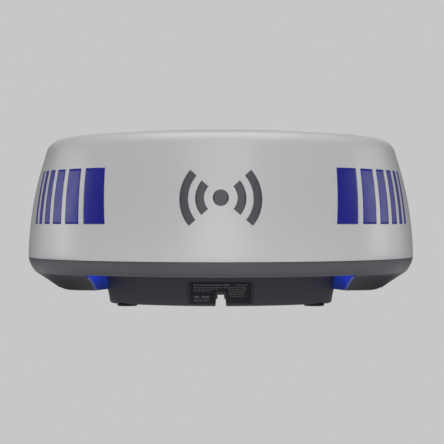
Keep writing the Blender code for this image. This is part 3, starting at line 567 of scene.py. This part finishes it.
def printed(name, colour, roughness=0.35):
    """Screen-printed ink or film, with a faint unevenness in density."""
    n = Nodes(name)
    density = n.remap(n.noise(60.0, 5.0, 0.6), 0.0, 1.0)
    dark = tuple(c * 0.90 for c in colour)
    n.link(n.mix(density, dark, colour), n.shader.inputs["Base Color"])
    gloss = n.remap(n.noise(90.0, 4.0, 0.6), roughness - 0.05, roughness + 0.05)
    n.link(gloss, n.shader.inputs["Roughness"])
    n.link(n.bump(n.noise(700.0, 2.0, 0.5), 0.10, 0.00002), n.shader.inputs["Normal"])
    return n.material


def circuit_board():
    """Green solder mask over copper: paler straight tracks, tinned pads and a faint haze."""
    n = Nodes("circuit_board")
    tracks = n.add("ShaderNodeTexBrick")
    tracks.inputs["Scale"].default_value = 160.0
    tracks.inputs["Mortar Size"].default_value = 0.06
    tracks.inputs["Color1"].default_value = (0.018, 0.105, 0.045, 1)
    tracks.inputs["Color2"].default_value = (0.022, 0.125, 0.055, 1)
    tracks.inputs["Mortar"].default_value = (0.045, 0.200, 0.090, 1)
    n.link(n.coords.outputs["Object"], tracks.inputs["Vector"])
    pads = n.add("ShaderNodeTexVoronoi")
    pads.inputs["Scale"].default_value = 260.0
    n.link(n.coords.outputs["Object"], pads.inputs["Vector"])
    tin = n.remap(pads.outputs["Distance"], 1.0, 0.0, 0.10, 0.13)
    n.link(n.mix(tin, tracks.outputs["Color"], (0.42, 0.42, 0.40)), n.shader.inputs["Base Color"])
    n.link(n.remap(n.noise(70.0, 4.0, 0.6), 0.30, 0.44), n.shader.inputs["Roughness"])
    n.link(n.bump(tracks.outputs["Fac"], 0.4, 0.00003), n.shader.inputs["Normal"])
    return n.material


GEL_COAT = radome_paint()
POWDER_COAT = casting_paint()
LENS_BLUE = lens_material()
RUBBER = surface("moulded_rubber", (0.030, 0.030, 0.034), (0.020, 0.020, 0.023), 0.75, grain=1400.0,
                 grain_depth=0.00005)
INK_BLUE = printed("print_blue", (0.014, 0.018, 0.36))
INK_GREY = printed("print_grey", (0.085, 0.085, 0.105))
LABEL_BLACK = printed("label_film", (0.024, 0.021, 0.032), 0.40)
LABEL_INK = printed("label_ink", (0.26, 0.26, 0.28), 0.45)
STEEL = surface("machined_steel", (0.56, 0.56, 0.58), (0.44, 0.44, 0.46), 0.28, 1.0, 20.0, 600.0, 0.00002)
BLACK_PLASTIC = surface("dark_plastic", (0.040, 0.040, 0.044), (0.028, 0.028, 0.031), 0.50, grain=1300.0,
                        grain_depth=0.00004, edge=0.0004)
MOTOR_BLACK = surface("motor_enamel", (0.032, 0.032, 0.035), (0.020, 0.020, 0.022), 0.34, tone_scale=30.0,
                      grain=800.0, grain_depth=0.00002, edge=0.0005, coat=0.3)
ALUMINIUM = surface("blasted_aluminium", (0.70, 0.70, 0.72), (0.55, 0.55, 0.57), 0.42, 1.0, 16.0, 1500.0,
                    0.00004, edge=0.0006)
BRASS = surface("turned_brass", (0.72, 0.52, 0.22), (0.52, 0.36, 0.14), 0.30, 1.0, 25.0, 500.0, 0.00002,
                edge=0.0003, stretch=(1.0, 1.0, 6.0))
ANTENNA_WHITE = surface("antenna_moulding", (0.72, 0.72, 0.70), (0.62, 0.62, 0.59), 0.48, tone_scale=8.0,
                        grain=900.0, grain_depth=0.00004, edge=0.0006)
BELT = surface("belt_fabric", (0.034, 0.034, 0.037), (0.018, 0.018, 0.020), 0.82, tone_scale=60.0,
               grain=2200.0, grain_depth=0.00008)
JACKET = surface("cable_jacket", (0.026, 0.026, 0.029), (0.016, 0.016, 0.018), 0.46, tone_scale=40.0,
                 grain=1200.0, grain_depth=0.00002)
BOARD = circuit_board()
FRAME_LOOKS = {
    "steel": STEEL, "aluminium": ALUMINIUM, "brass": BRASS, "black_plastic": BLACK_PLASTIC,
    "motor_black": MOTOR_BLACK, "antenna_white": ANTENNA_WHITE, "belt_rubber": BELT, "cable_black": JACKET,
    "seal_rubber": RUBBER, "board_green": BOARD,
}


# ---------------------------------------------------------------- radome

def shell_profile(depth, low_z, count):
    """Radome section from the crown down to low_z, pushed in by depth."""
    crown_r = SHELL_CROWN_ARC - depth
    crown_z = SHELL_TOP_Z - SHELL_CROWN_ARC
    crown_end = math.degrees(math.asin(SHELL_SHOULDER[0] / (SHELL_CROWN_ARC - SHELL_SHOULDER_R)))
    crown = arc((0, crown_z), crown_r, 90, 90 - crown_end, count)
    shoulder = arc(SHELL_SHOULDER, SHELL_SHOULDER_R - depth, SHELL_SHOULDER_FROM, SHELL_SHOULDER_TO, count)
    wall_r = SHELL_WALL_ARC - depth
    low = math.degrees(math.asin((low_z - SHELL_WIDEST_Z) / wall_r))
    wall = arc((SHELL_R - SHELL_WALL_ARC, SHELL_WIDEST_Z), wall_r, SHELL_SHOULDER_TO, low, count)
    return [(0, crown[0][1])] + crown[1:-1] + shoulder + wall[1:]


def wall_radius(z):
    """Outer radius of the radome's side wall at height z."""
    return SHELL_R - SHELL_WALL_ARC + math.sqrt(SHELL_WALL_ARC ** 2 - (z - SHELL_WIDEST_Z) ** 2)


def fixing_places():
    return [(side * FIXING_X, end * FIXING_Y) for end in (-1, 1) for side in (-1, 1)]


def make_radome():
    flange_z = SEAM_Z + SHELL_FLANGE_H
    outside = shell_profile(0, SEAM_Z + SEAM_ROUND, 20)
    edge_r = outside[-1][0]
    edge = arc((edge_r - SEAM_ROUND, SEAM_Z + SEAM_ROUND), SEAM_ROUND, 0, -90, 5)[1:]
    inside = shell_profile(SHELL_THICKNESS, flange_z, 14)
    flange = [(SHELL_FLANGE_R + 0.4, SEAM_Z), (SHELL_FLANGE_R, SEAM_Z + 0.4), (SHELL_FLANGE_R, flange_z)]
    cover = turned("radome", outside + edge + flange + inside[::-1], FINE)
    top, low = SHELL_BOSS_TOP_Z, SEAM_Z + SHELL_BOSS_ROUND
    boss = [(0, top), (SHELL_BOSS_R - SHELL_BOSS_ROUND, top), (SHELL_BOSS_R, top - SHELL_BOSS_ROUND),
            (SHELL_BOSS_R, low), (0, low)]
    cover = join(cover, *[turned(f"boss_{i}", boss, SMALL, at) for i, at in enumerate(fixing_places())])
    cover = cut(cover, *[rod(f"hole_{i}", FIXING_R + GAP, SEAM_Z - 1, SHELL_HOLE_TOP_Z, SMALL, at)
                         for i, at in enumerate(fixing_places())])
    finish(cover, "radome", GEL_COAT, ["radome_cover"], 25)


def decal(name, outline, material):
    """Thin film wrapped on the radome wall. The outline is (arc length at the widest radius, height)."""
    work = bmesh.new()
    flat = [Vector((u, v, 0)) for u, v in outline]
    verts = [work.verts.new(p) for p in flat]
    for a, b, c in tessellate_polygon([flat]):
        work.faces.new((verts[a], verts[b], verts[c]))
    for axis in (0, 1):
        low = min(p[axis] for p in outline)
        high = max(p[axis] for p in outline)
        normal = (1, 0, 0) if axis == 0 else (0, 1, 0)
        cuts = int((high - low) / FILM_STEP)
        for i in range(1, cuts + 1):
            at = [0, 0, 0]
            at[axis] = low + (high - low) * i / (cuts + 1)
            geometry = work.verts[:] + work.edges[:] + work.faces[:]
            bmesh.ops.bisect_plane(work, geom=geometry, plane_co=at, plane_no=normal)
    for vert in work.verts:
        u, z = vert.co.x, vert.co.y
        radius = wall_radius(z) + FILM_LIFT
        angle = u / SHELL_R - math.pi / 2
        vert.co = (radius * math.cos(angle), radius * math.sin(angle), z)
    obj = add_object(name, work)
    film = obj.modifiers.new("film", "SOLIDIFY")
    film.thickness = FILM_THICKNESS * MM
    film.offset = 1.0
    finish(obj, "radome", material, angle=40)


def slanted_bar(left, right):
    """Stripe between two ends of its foot, leaning over at the top."""
    low, high = STRIPE_Z
    return [(left, low), (right, low), (right + STRIPE_SLANT, high), (left + STRIPE_SLANT, high)]


def make_graphics():
    """Plain stripes on both sides and a radio-wave sign on the cable side."""
    for side, name in ((-1, "left"), (1, "right")):
        at = SHELL_R * math.radians(STRIPE_FROM_DEG)
        for i, width in enumerate(STRIPE_WIDTHS, 1):
            bar = slanted_bar(at, at + width)
            if side < 0:
                bar = [(-u, v) for u, v in reversed(bar)]
            decal(f"stripe_{name}_{i}", bar, INK_BLUE)
            at += width + STRIPE_SPACE
    middle = (0, SIGN_Z)
    decal("wave_dot", circle(middle, SIGN_DOT_R, 40), INK_GREY)
    for i, radius in enumerate(SIGN_ARCS_R, 1):
        for way, name in ((0, "right"), (180, "left")):
            outer = arc(middle, radius + SIGN_STROKE, way - SIGN_SPREAD, way + SIGN_SPREAD, 24)
            inner = arc(middle, radius - SIGN_STROKE, way + SIGN_SPREAD, way - SIGN_SPREAD, 24)
            decal(f"wave_{name}_{i}", outer + inner, INK_GREY)


# ---------------------------------------------------------------- base casting

def rim_arc(count=12):
    top = Vector((RIM_TOP_R, RIM_TOP_Z))
    low = Vector(RIM_LOW)
    across = (top - low).orthogonal().normalized()
    if across.x < 0:
        across.negate()
    points = []
    for i in range(count + 1):
        t = i / count
        points.append(tuple(top.lerp(low, t) + across * RIM_BULGE * 4 * t * (1 - t)))
    return points


def keel_radius(angle):
    """Distance from the axis to the edge of the flat underside."""
    across = abs(math.cos(angle)) / KEEL_X
    along = abs(math.sin(angle)) / KEEL_Y
    return (across ** KEEL_POWER + along ** KEEL_POWER) ** (-1 / KEEL_POWER)


def bowl_reach(share, widest):
    """Radius of the bowl by angle, from the keel's edge at share 0 to the round rim at share 1."""
    def radius(angle):
        keel = keel_radius(angle)
        return min(widest, keel + (CONE_TOP[0] - keel) * share)
    return radius


def bowl_levels(lift, widest=CONE_TOP[0], count=24):
    """Levels of the bowl from the rim down to the keel's edge, raised by lift and kept inside widest."""
    slope = math.radians(CONE_DEG)
    levels = []
    for i in range(count + 1):
        share = 1 - i / count
        out = (CONE_TOP[0] - KEEL_X) * share
        if out < BOWL_FILLET * math.sin(slope):
            height = KEEL_Z + BOWL_FILLET - math.sqrt(BOWL_FILLET ** 2 - out ** 2)
        else:
            height = CONE_TOP[1] - (CONE_TOP[0] - KEEL_X - out) * math.tan(slope)
        levels.append((bowl_reach(share, widest), height + lift))
    return levels + [(0, KEEL_Z + lift)]


def pedestal_outline(offset):
    corner = PEDESTAL_CORNER + offset
    reach = PEDESTAL_ARC - PEDESTAL_CORNER
    inset = PEDESTAL_HALF - PEDESTAL_CORNER
    swing = math.degrees(math.asin(inset / reach))
    radius = PEDESTAL_ARC + offset
    front_y = PEDESTAL_FRONT_Y - PEDESTAL_ARC
    rear_y = PEDESTAL_REAR_Y + PEDESTAL_ARC
    drop = reach * math.cos(math.radians(swing))
    front = arc((0, front_y), radius, 90 - swing, 90 + swing, 48)
    rear = arc((0, rear_y), radius, 270 - swing, 270 + swing, 48)
    left_front = arc((-inset, front_y + drop), corner, 90 + swing, 180, 14)
    left_rear = arc((-inset, rear_y - drop), corner, 180, 270 - swing, 14)
    right_rear = arc((inset, rear_y - drop), corner, 270 + swing, 360, 14)
    right_front = arc((inset, front_y + drop), corner, 0, 90 - swing, 14)
    return front + left_front[1:] + left_rear + rear[1:] + right_rear[1:] + right_front[:-1]


def flare(z):
    rise = z - PEDESTAL_Z - PEDESTAL_EDGE
    return FLARE_LINEAR * rise + FLARE_SQUARE * rise * rise


def pedestal_rings(offset):
    rings = []
    levels = 10
    edge_z = PEDESTAL_Z + PEDESTAL_EDGE
    for i in range(levels):
        turn = math.radians(-90 + i * 90 / levels)
        inset = PEDESTAL_EDGE * (math.cos(turn) - 1)
        z = edge_z + PEDESTAL_EDGE * math.sin(turn)
        rings.append([(x, y, z) for x, y in pedestal_outline(offset + inset)])
    for i in range(levels + 1):
        z = edge_z + (PEDESTAL_TOP_Z - edge_z) * i / levels
        rings.append([(x, y, z) for x, y in pedestal_outline(offset + flare(z))])
    return rings


def niche_face_x(y):
    """Half width of the space behind the pedestal: straight at the back, curving in towards its front."""
    end_x, end_y = NICHE_END
    share = min(1.0, max(0.0, (y - NICHE_Y) / (end_y - NICHE_Y)))
    return NICHE_X - (NICHE_X - end_x) * share ** NICHE_CURVE


def niche_knots(y_low, y_high):
    """Places along the wall where its plan bends, between two ends."""
    bends = [NICHE_Y + (NICHE_END[1] - NICHE_Y) * i / NICHE_STEPS for i in range(NICHE_STEPS + 1)]
    return [y_low] + [y for y in bends if y_low < y < y_high] + [y_high]


def niche_outline(offset):
    """Plan of the space behind the pedestal, between the two pods, grown by offset."""
    right = [(niche_face_x(y) + offset, y) for y in niche_knots(-300, NICHE_END[1])]
    return right + [(-x, y) for x, y in reversed(right)]


def niche_strip(side, near, far, y_low, y_high):
    """Thin plan strip that follows the pod's inner side, from near to far outside its face."""
    knots = niche_knots(y_low, y_high)
    inner = [(side * (niche_face_x(y) + near), y) for y in knots]
    outer = [(side * (niche_face_x(y) + far), y) for y in reversed(knots)]
    return inner + outer


def foot_places():
    return [(side * FOOT_X, y) for y in (FOOT_REAR_Y, FOOT_FRONT_Y) for side in (-1, 1)]


def notch_outline():
    half = [(NOTCH_HALF_FOOT + 0.4, -1.0), (NOTCH_HALF_STEP, NOTCH_STEP_Z),
            (NOTCH_HALF_TOP, NOTCH_STEP_Z + 0.8)]
    half += arc((NOTCH_HALF_TOP - 0.8, NOTCH_TOP_Z - 0.8), 0.8, 0, 90, 5)
    return half + [(-x, z) for x, z in reversed(half)]


def make_base():
    groove_z = RIM_TOP_Z - GROOVE_DEPTH
    inner_r, outer_r = SEAL_R - GROOVE_HALF, SEAL_R + GROOVE_HALF
    groove = [(inner_r, RIM_TOP_Z), (inner_r, groove_z), (outer_r, groove_z), (outer_r, RIM_TOP_Z)]
    rim = rim_arc()
    lip = [(RIM_TOP_R - 0.8, RIM_TOP_Z), (RIM_TOP_R - 0.2, RIM_TOP_Z - 0.3)]
    top = [(0, RIM_TOP_Z)] + groove + lip + rim[1:]
    base = turned("base", top + bowl_levels(0), FINE)
    niche = prism("niche", [niche_outline(0)], -20, NICHE_CEILING_Z)
    windows = [prism(f"window_{side}", [niche_strip(side, -1.0, WINDOW_DEPTH, *WINDOW_Y)], *WINDOW_Z)
               for side in (-1, 1)]
    base = cut(base, niche, *windows)
    base = join(base, loft("pedestal", pedestal_rings(0)))

    lift = CASTING / math.cos(math.radians(CONE_DEG))
    inner_top = [(0, RIM_TOP_Z + 2), (RIM_INSIDE_R, RIM_TOP_Z + 2)]
    cavity = turned("cavity", inner_top + bowl_levels(lift, RIM_INSIDE_R), FINE)
    raised = prism("raised", [pedestal_outline(flare(PEDESTAL_TOP_Z) + CASTING)], 0, FLOOR_Z)
    shelf = prism("shelf", [niche_outline(CASTING)], -1, FLOOR_Z)
    bosses = [rod(f"rim_boss_{i}", FIXING_BOSS_R, 0, RIM_TOP_Z - 0.2, SMALL, at)
              for i, at in enumerate(fixing_places())]
    cavity = cut(cavity, raised, shelf, *bosses)
    base = cut(base, cavity)

    bay = prism("bay", [pedestal_outline(-BAY_WALL)], -5, FLOOR_Z - FLOOR_THICKNESS)
    pillars = [rod(f"pillar_{i}", BOSS_R, -10, FLOOR_Z, PAD_HOLE_STEPS, at) for i, at in enumerate(foot_places())]
    clamp_x, clamp_y = CLAMP_AT
    pillars += [rod(f"clamp_pillar_{side}", CLAMP_BOSS_R, 25, FLOOR_Z, SMALL, (side * clamp_x, clamp_y))
                for side in (-1, 1)]
    base = cut(base, cut(bay, *pillars))

    recess_outline = rounded_box_outline((-RECESS_HALF, RECESS_Z[0]), (RECESS_HALF, RECESS_Z[1]), 3.0)
    recess = prism("recess", [recess_outline], *REAR_CUT, rear_view)
    recess = cut(recess, loft("recess_floor", pedestal_rings(-RECESS_DEPTH)))
    base = cut(base, recess)
    base = cut(base, prism("notch", [notch_outline()], REAR_CUT[0] - 5, REAR_CUT[1], rear_view))

    holes = [rod(f"insert_hole_{i}", INSERT_R + GAP, -5, INSERT_TOP_Z + GAP, SMALL, at)
             for i, at in enumerate(foot_places())]
    head_r = FIXING_HEAD_R + 0.6
    hole_r = FIXING_R + GAP
    stepped = [(0, 70), (hole_r, 70), (hole_r, FIXING_HEAD_Z), (head_r, FIXING_HEAD_Z), (head_r, 20),
               (0, 20)]
    holes += [turned(f"fixing_hole_{i}", stepped, SMALL, at) for i, at in enumerate(fixing_places())]
    holes += [rod(f"socket_hole_{side}", SOCKET_HOLE_R, 40, FLOOR_Z + 2, SMALL,
                  (side * SOCKET_X, SOCKET_Y)) for side in (-1, 1)]
    holes += [rod("vent_hole", VENT_HOLE_R, 40, FLOOR_Z + 2, SMALL, VENT_AT)]
    for hole in holes:
        base = cut(base, hole)
    finish(base, "base", POWDER_COAT, ["base_housing"], 12)


def make_lenses():
    for side, name in ((-1, "left"), (1, "right")):
        strip = niche_strip(side, -GAP, -GAP - LENS_THICKNESS, *LENS_Y)
        lens = prism(f"lens_{name}", [strip], KEEL_Z + 0.6, NICHE_CEILING_Z - GAP)
        trim_z = CONE_TOP[1] + 3.5
        trim = [(0, trim_z), (CONE_TOP[0] + 3.2, trim_z)]
        body = turned("lens_trim", trim + bowl_levels(GAP + 0.1), FINE)
        lens = boolean(lens, [body], "INTERSECT")
        lens = cut(lens, loft("lens_clearance", pedestal_rings(GAP)))
        finish(lens, "base", LENS_BLUE, [f"accent_lens_{name}"])


def make_label():
    outline = rounded_box_outline((-LABEL_HALF, LABEL_Z[0]), (LABEL_HALF, LABEL_Z[1]), 1.6)
    label = prism("label", [outline], *REAR_CUT, rear_view)
    arch = [(LABEL_ARCH_HALF, 0)] + arc((LABEL_ARCH_HALF - 3, LABEL_ARCH_Z - 3), 3, 0, 90, 6)
    arch += [(-x, z) for x, z in reversed(arch)]
    label = cut(label, prism("label_arch", [arch], REAR_CUT[0] - 10, REAR_CUT[1] + 10, rear_view))
    skin = GAP - RECESS_DEPTH
    label = boolean(label, [loft("label_front", pedestal_rings(skin + LABEL_SKIN))], "INTERSECT")
    label = cut(label, loft("label_back", pedestal_rings(skin)))
    finish(label, "base", LABEL_BLACK, ["rating_label"])


def label_bars():
    """Rows of short plain bars that stand for small print; they spell nothing."""
    chance = random.Random(7)
    bars = []
    for z, height, start, end in LABEL_ROWS:
        at = start
        while at < end - 2:
            width = min(end - at, chance.uniform(2.0, 6.5))
            bars.append([(at, z), (at + width, z), (at + width, z + height), (at, z + height)])
            at += width + 0.9
    return bars


def make_label_print():
    """The bars, cut to a thin layer that follows the label's face."""
    skin = GAP - RECESS_DEPTH + LABEL_SKIN
    ink = prism("label_print", label_bars(), *REAR_CUT, rear_view)
    ink = boolean(ink, [loft("print_front", pedestal_rings(skin + LABEL_INK_SKIN))], "INTERSECT")
    ink = cut(ink, loft("print_back", pedestal_rings(skin + 0.01)))
    finish(ink, "base", LABEL_INK)


def make_feet():
    top_z = PEDESTAL_Z - GAP
    for i, (x, y) in enumerate(foot_places(), 1):
        side = [(FOOT_R, top_z)] + arc((FOOT_R - 0.9, 0.9), 0.9, 0, -90, 5)
        middle = (x + math.copysign(FOOT_SHIFT, x), y)
        pad = turned(f"pad_{i}", [(0, top_z)] + side + [(0, 0)], PAD_STEPS, middle)
        hole = [(0, top_z + 1), (FOOT_HOLE_R, top_z + 1), (FOOT_HOLE_R, 0.8), (FOOT_HOLE_R + 0.8, -0.01),
                (0, -0.01)]
        pad = cut(pad, turned(f"pad_hole_{i}", hole, PAD_HOLE_STEPS, (x, y)))
        finish(pad, "base", RUBBER, [f"mounting_pad_{i}"])


# ---------------------------------------------------------------- small parts inside

def cluster(name, parts):
    """Small separate parts held in one piece."""
    work = bmesh.new()
    for part in parts:
        work.from_mesh(part.data)
        bpy.data.objects.remove(part)
    bmesh.ops.scale(work, vec=(1 / MM,) * 3, verts=work.verts)
    return add_object(name, work)


def chip(name, x, y, low, width, depth, height):
    """Moulded package with its two rows of legs."""
    x_low, y_low = x - width / 2, y - depth / 2
    x_high, y_high = x + width / 2, y + depth / 2
    parts = [block(name, (x_low, y_low, low + 0.4), (x_high, y_high, low + height), 0.3)]
    count = int(width / LEG_PITCH)
    for i in range(count):
        at = x_low + width * (i + 0.5) / count
        parts.append(block(f"{name}_leg_{i}", (at - 0.4, y_low - LEG_REACH, low + 0.05),
                           (at + 0.4, y_high + LEG_REACH, low + 0.75)))
    return parts


def board_top(node):
    """Middle of a board in plan, and the height at which parts stand on it."""
    low, high = edges_mm(node)
    return (low.x + high.x) / 2, (low.y + high.y) / 2, high.z + SEAT


def make_main_board_parts():
    """Five chips, a row of small capacitors and four cans."""
    x, y, top = board_top("main_board")
    chips = []
    for i, (dx, dy, width, depth, height) in enumerate(MAIN_CHIPS):
        chips += chip(f"main_chip_{i}", x + dx, y + dy, top, width, depth, height)
    finish(cluster("main_board_chips", chips), "base", BLACK_PLASTIC)
    cans = [rod(f"main_can_{i}", 3.1, top, top + 7.5, SMALL, (x + 26, y - 48 + 9 * i), 0.5)
            for i in range(4)]
    for i in range(10):
        left = x - 30 + 4.5 * i
        cans.append(block(f"main_cap_{i}", (left, y - 40, top), (left + 2.4, y - 38.4, top + 1.0), 0.15))
    finish(cluster("main_board_capacitors", cans), "base", ALUMINIUM)


def make_power_board_parts():
    """A coil, a chip and three large cans."""
    x, y, top = board_top("power_board")
    core = [block("coil_core", (x - 30, y - 10, top), (x - 14, y + 8, top + 11), 0.8)]
    core += chip("power_chip", x + 22, y - 8, top, 15, 10, 2.4)
    finish(cluster("power_board_parts", core), "base", BLACK_PLASTIC)
    cans = [rod(f"power_can_{i}", 4.6, top, top + 13, SMALL, (x - 4 + 11 * i, y + 8), 0.7)
            for i in range(3)]
    finish(cluster("power_board_capacitors", cans), "base", ALUMINIUM)


def make_socket_pins():
    """Contacts standing in the open ends of the two cable sockets."""
    for name, count in SOCKET_PINS:
        low, high = edges_mm(f"{name}_socket")
        x, y = (low.x + high.x) / 2, (low.y + high.y) / 2
        pins = []
        for i in range(count):
            turn = 2 * math.pi * i / count
            at = (x + PIN_CIRCLE_R * math.cos(turn), y + PIN_CIRCLE_R * math.sin(turn))
            pins.append(rod(f"{name}_pin_{i}", PIN_R, low.z + 3, low.z + 12, 16, at, 0.3))
        finish(cluster(f"{name}_socket_pins", pins), "base", BRASS)


def make_patches():
    """Copper patches of the array, in two rows on the board's front face, with their feed line."""
    low, high = edges_mm("antenna_array")
    near, far = high.y + COPPER[0], high.y + COPPER[1]
    middle = (low.z + high.z) / 2
    patches = []
    for row in (-1, 1):
        z = middle + row * PATCH_ROW_Z
        for i in range(PATCHES):
            x = low.x + (high.x - low.x) * (i + 0.5) / PATCHES
            patches.append(block(f"patch_{row}_{i}", (x - PATCH_HALF, near, z - PATCH_HALF),
                                 (x + PATCH_HALF, far, z + PATCH_HALF)))
    patches.append(block("feed_line", (low.x + 8, near, middle - 1), (high.x - 8, far, middle + 1)))
    finish(cluster("array_patches", patches), "rotor", BRASS)


def paint_frame():
    """Gives every CAD node that stays in view the finish its record slot asks for."""
    looks = {part["node"]: FRAME_LOOKS.get(part["material_slot"]) for part in frame["record"]["subparts"]}
    for name, node in frame["nodes"].items():
        if node.hide_render or looks.get(name) is None:
            continue
        for holder in node.material_slots:
            holder.material = looks[name]


# ---------------------------------------------------------------- studio

CAMERA_BACK = 1.656
CAMERA_HEIGHT = 0.1102
LENS_MM = 100.0
SENSOR_MM = 36.0
CAMERA_SHIFT = (0.0027, -0.00315)    # share of the picture's width
PALE = 0.571               # linear grey of the floor and background
WORLD_FILL = 0.08
AIM_Z = 0.12
FLOOR_SIZE = 12000         # millimetres, like every mesh here
GLOW_REACH = 0.6           # metres from the axis at which the floor stops lighting the object
GLOW = (                   # metres from the axis, then how strongly the floor lights the object there
    (0.0, 0.25), (0.17, 0.25), (0.22, 0.06), (0.25, 0.06), (0.29, 0.73), (0.34, 0.73), (0.40, 0.36),
    (0.54, 0.35),
)


def camera_only(tree, seen, lit, kind):
    """Mix of what the camera sees and what lights the object."""
    path = tree.nodes.new("ShaderNodeLightPath")
    mix = tree.nodes.new("ShaderNodeMixShader")
    tree.links.new(path.outputs["Is Camera Ray"], mix.inputs[0])
    tree.links.new(lit, mix.inputs[1])
    tree.links.new(seen, mix.inputs[2])
    tree.links.new(mix.outputs[0], tree.nodes[kind].inputs["Surface"])


def make_world():
    world = bpy.data.worlds.new("studio")
    world.use_nodes = True
    bpy.context.scene.world = world
    tree = world.node_tree
    tree.nodes["Background"].inputs["Color"].default_value = (PALE, PALE, PALE, 1)
    lit = tree.nodes.new("ShaderNodeBackground")
    lit.inputs["Color"].default_value = (WORLD_FILL, WORLD_FILL, WORLD_FILL, 1)
    camera_only(tree, tree.nodes["Background"].outputs[0], lit.outputs[0], "World Output")


def make_floor():
    """Pale floor at the feet; it glows softly in a ring round the object and is dim right under it."""
    work = bmesh.new()
    bmesh.ops.create_grid(work, x_segments=1, y_segments=1, size=FLOOR_SIZE)
    floor = add_object("floor", work)
    material = bpy.data.materials.new("pale_floor")
    material.use_nodes = True
    tree = material.node_tree
    tree.nodes.remove(tree.nodes["Principled BSDF"])
    seen = tree.nodes.new("ShaderNodeEmission")
    seen.inputs["Color"].default_value = (PALE, PALE, PALE, 1)
    coords = tree.nodes.new("ShaderNodeTexCoord")
    reach = tree.nodes.new("ShaderNodeVectorMath")
    reach.operation = "LENGTH"
    share = tree.nodes.new("ShaderNodeMath")
    share.operation = "DIVIDE"
    share.inputs[1].default_value = GLOW_REACH
    ramp = tree.nodes.new("ShaderNodeValToRGB")
    for at, level in GLOW:
        stop = ramp.color_ramp.elements.new(at / GLOW_REACH)
        stop.color = (level, level, level, 1)
    ramp.color_ramp.elements.remove(ramp.color_ramp.elements[0])
    ramp.color_ramp.elements[-1].color = (0, 0, 0, 1)
    lit = tree.nodes.new("ShaderNodeEmission")
    tree.links.new(coords.outputs["Object"], reach.inputs[0])
    tree.links.new(reach.outputs["Value"], share.inputs[0])
    tree.links.new(share.outputs[0], ramp.inputs[0])
    tree.links.new(ramp.outputs[0], lit.inputs["Color"])
    camera_only(tree, seen.outputs[0], lit.outputs[0], "Material Output")
    floor.data.materials.append(material)


def softbox(name, azimuth, elevation, size, power, reach=2.6):
    """Rectangular light aimed at the dome. Azimuth 0 is the camera's side, positive to starboard."""
    turn, lift = math.radians(azimuth), math.radians(elevation)
    way = Vector((math.sin(turn) * math.cos(lift), -math.cos(turn) * math.cos(lift), math.sin(lift)))
    light = bpy.data.lights.new(name, "AREA")
    light.shape = "RECTANGLE"
    light.size, light.size_y = size
    light.energy = power
    obj = bpy.data.objects.new(name, light)
    obj.location = Vector((0, 0, AIM_Z)) + reach * way
    obj.rotation_euler = way.to_track_quat("Z", "Y").to_euler()
    bpy.context.scene.collection.objects.link(obj)


def make_lights():
    softbox("front_wide", 0, 24, (1.6, 2.6), 23.6)
    softbox("front_strip", 0, 24, (0.7, 2.6), 9.6)
    softbox("top", 0, 89, (2.2, 2.2), 25.4, 2.4)
    for side, name in ((-1, "left"), (1, "right")):
        softbox(f"side_{name}", side * 100, 8, (0.7, 1.4), 7.7)
        softbox(f"edge_{name}", side * 118, 8, (0.7, 1.4), 2.8)
    softbox("back_low", 180, 18, (2.4, 0.6), 1.4)
    softbox("back_high", 180, 28, (2.4, 0.6), 0.5)


def make_camera():
    camera = bpy.data.cameras.new("camera")
    camera.lens = LENS_MM
    camera.sensor_width = SENSOR_MM
    camera.shift_x, camera.shift_y = CAMERA_SHIFT
    obj = bpy.data.objects.new("camera", camera)
    obj.location = (0, -CAMERA_BACK, CAMERA_HEIGHT)
    obj.rotation_euler = (math.pi / 2, 0, 0)
    bpy.context.scene.collection.objects.link(obj)
    bpy.context.scene.camera = obj
    bpy.context.scene.view_settings.view_transform = "Standard"


make_radome()
make_graphics()
make_base()
make_lenses()
make_label()
make_label_print()
make_feet()
make_main_board_parts()
make_power_board_parts()
make_socket_pins()
make_patches()
paint_frame()
make_world()
make_floor()
make_lights()
make_camera()
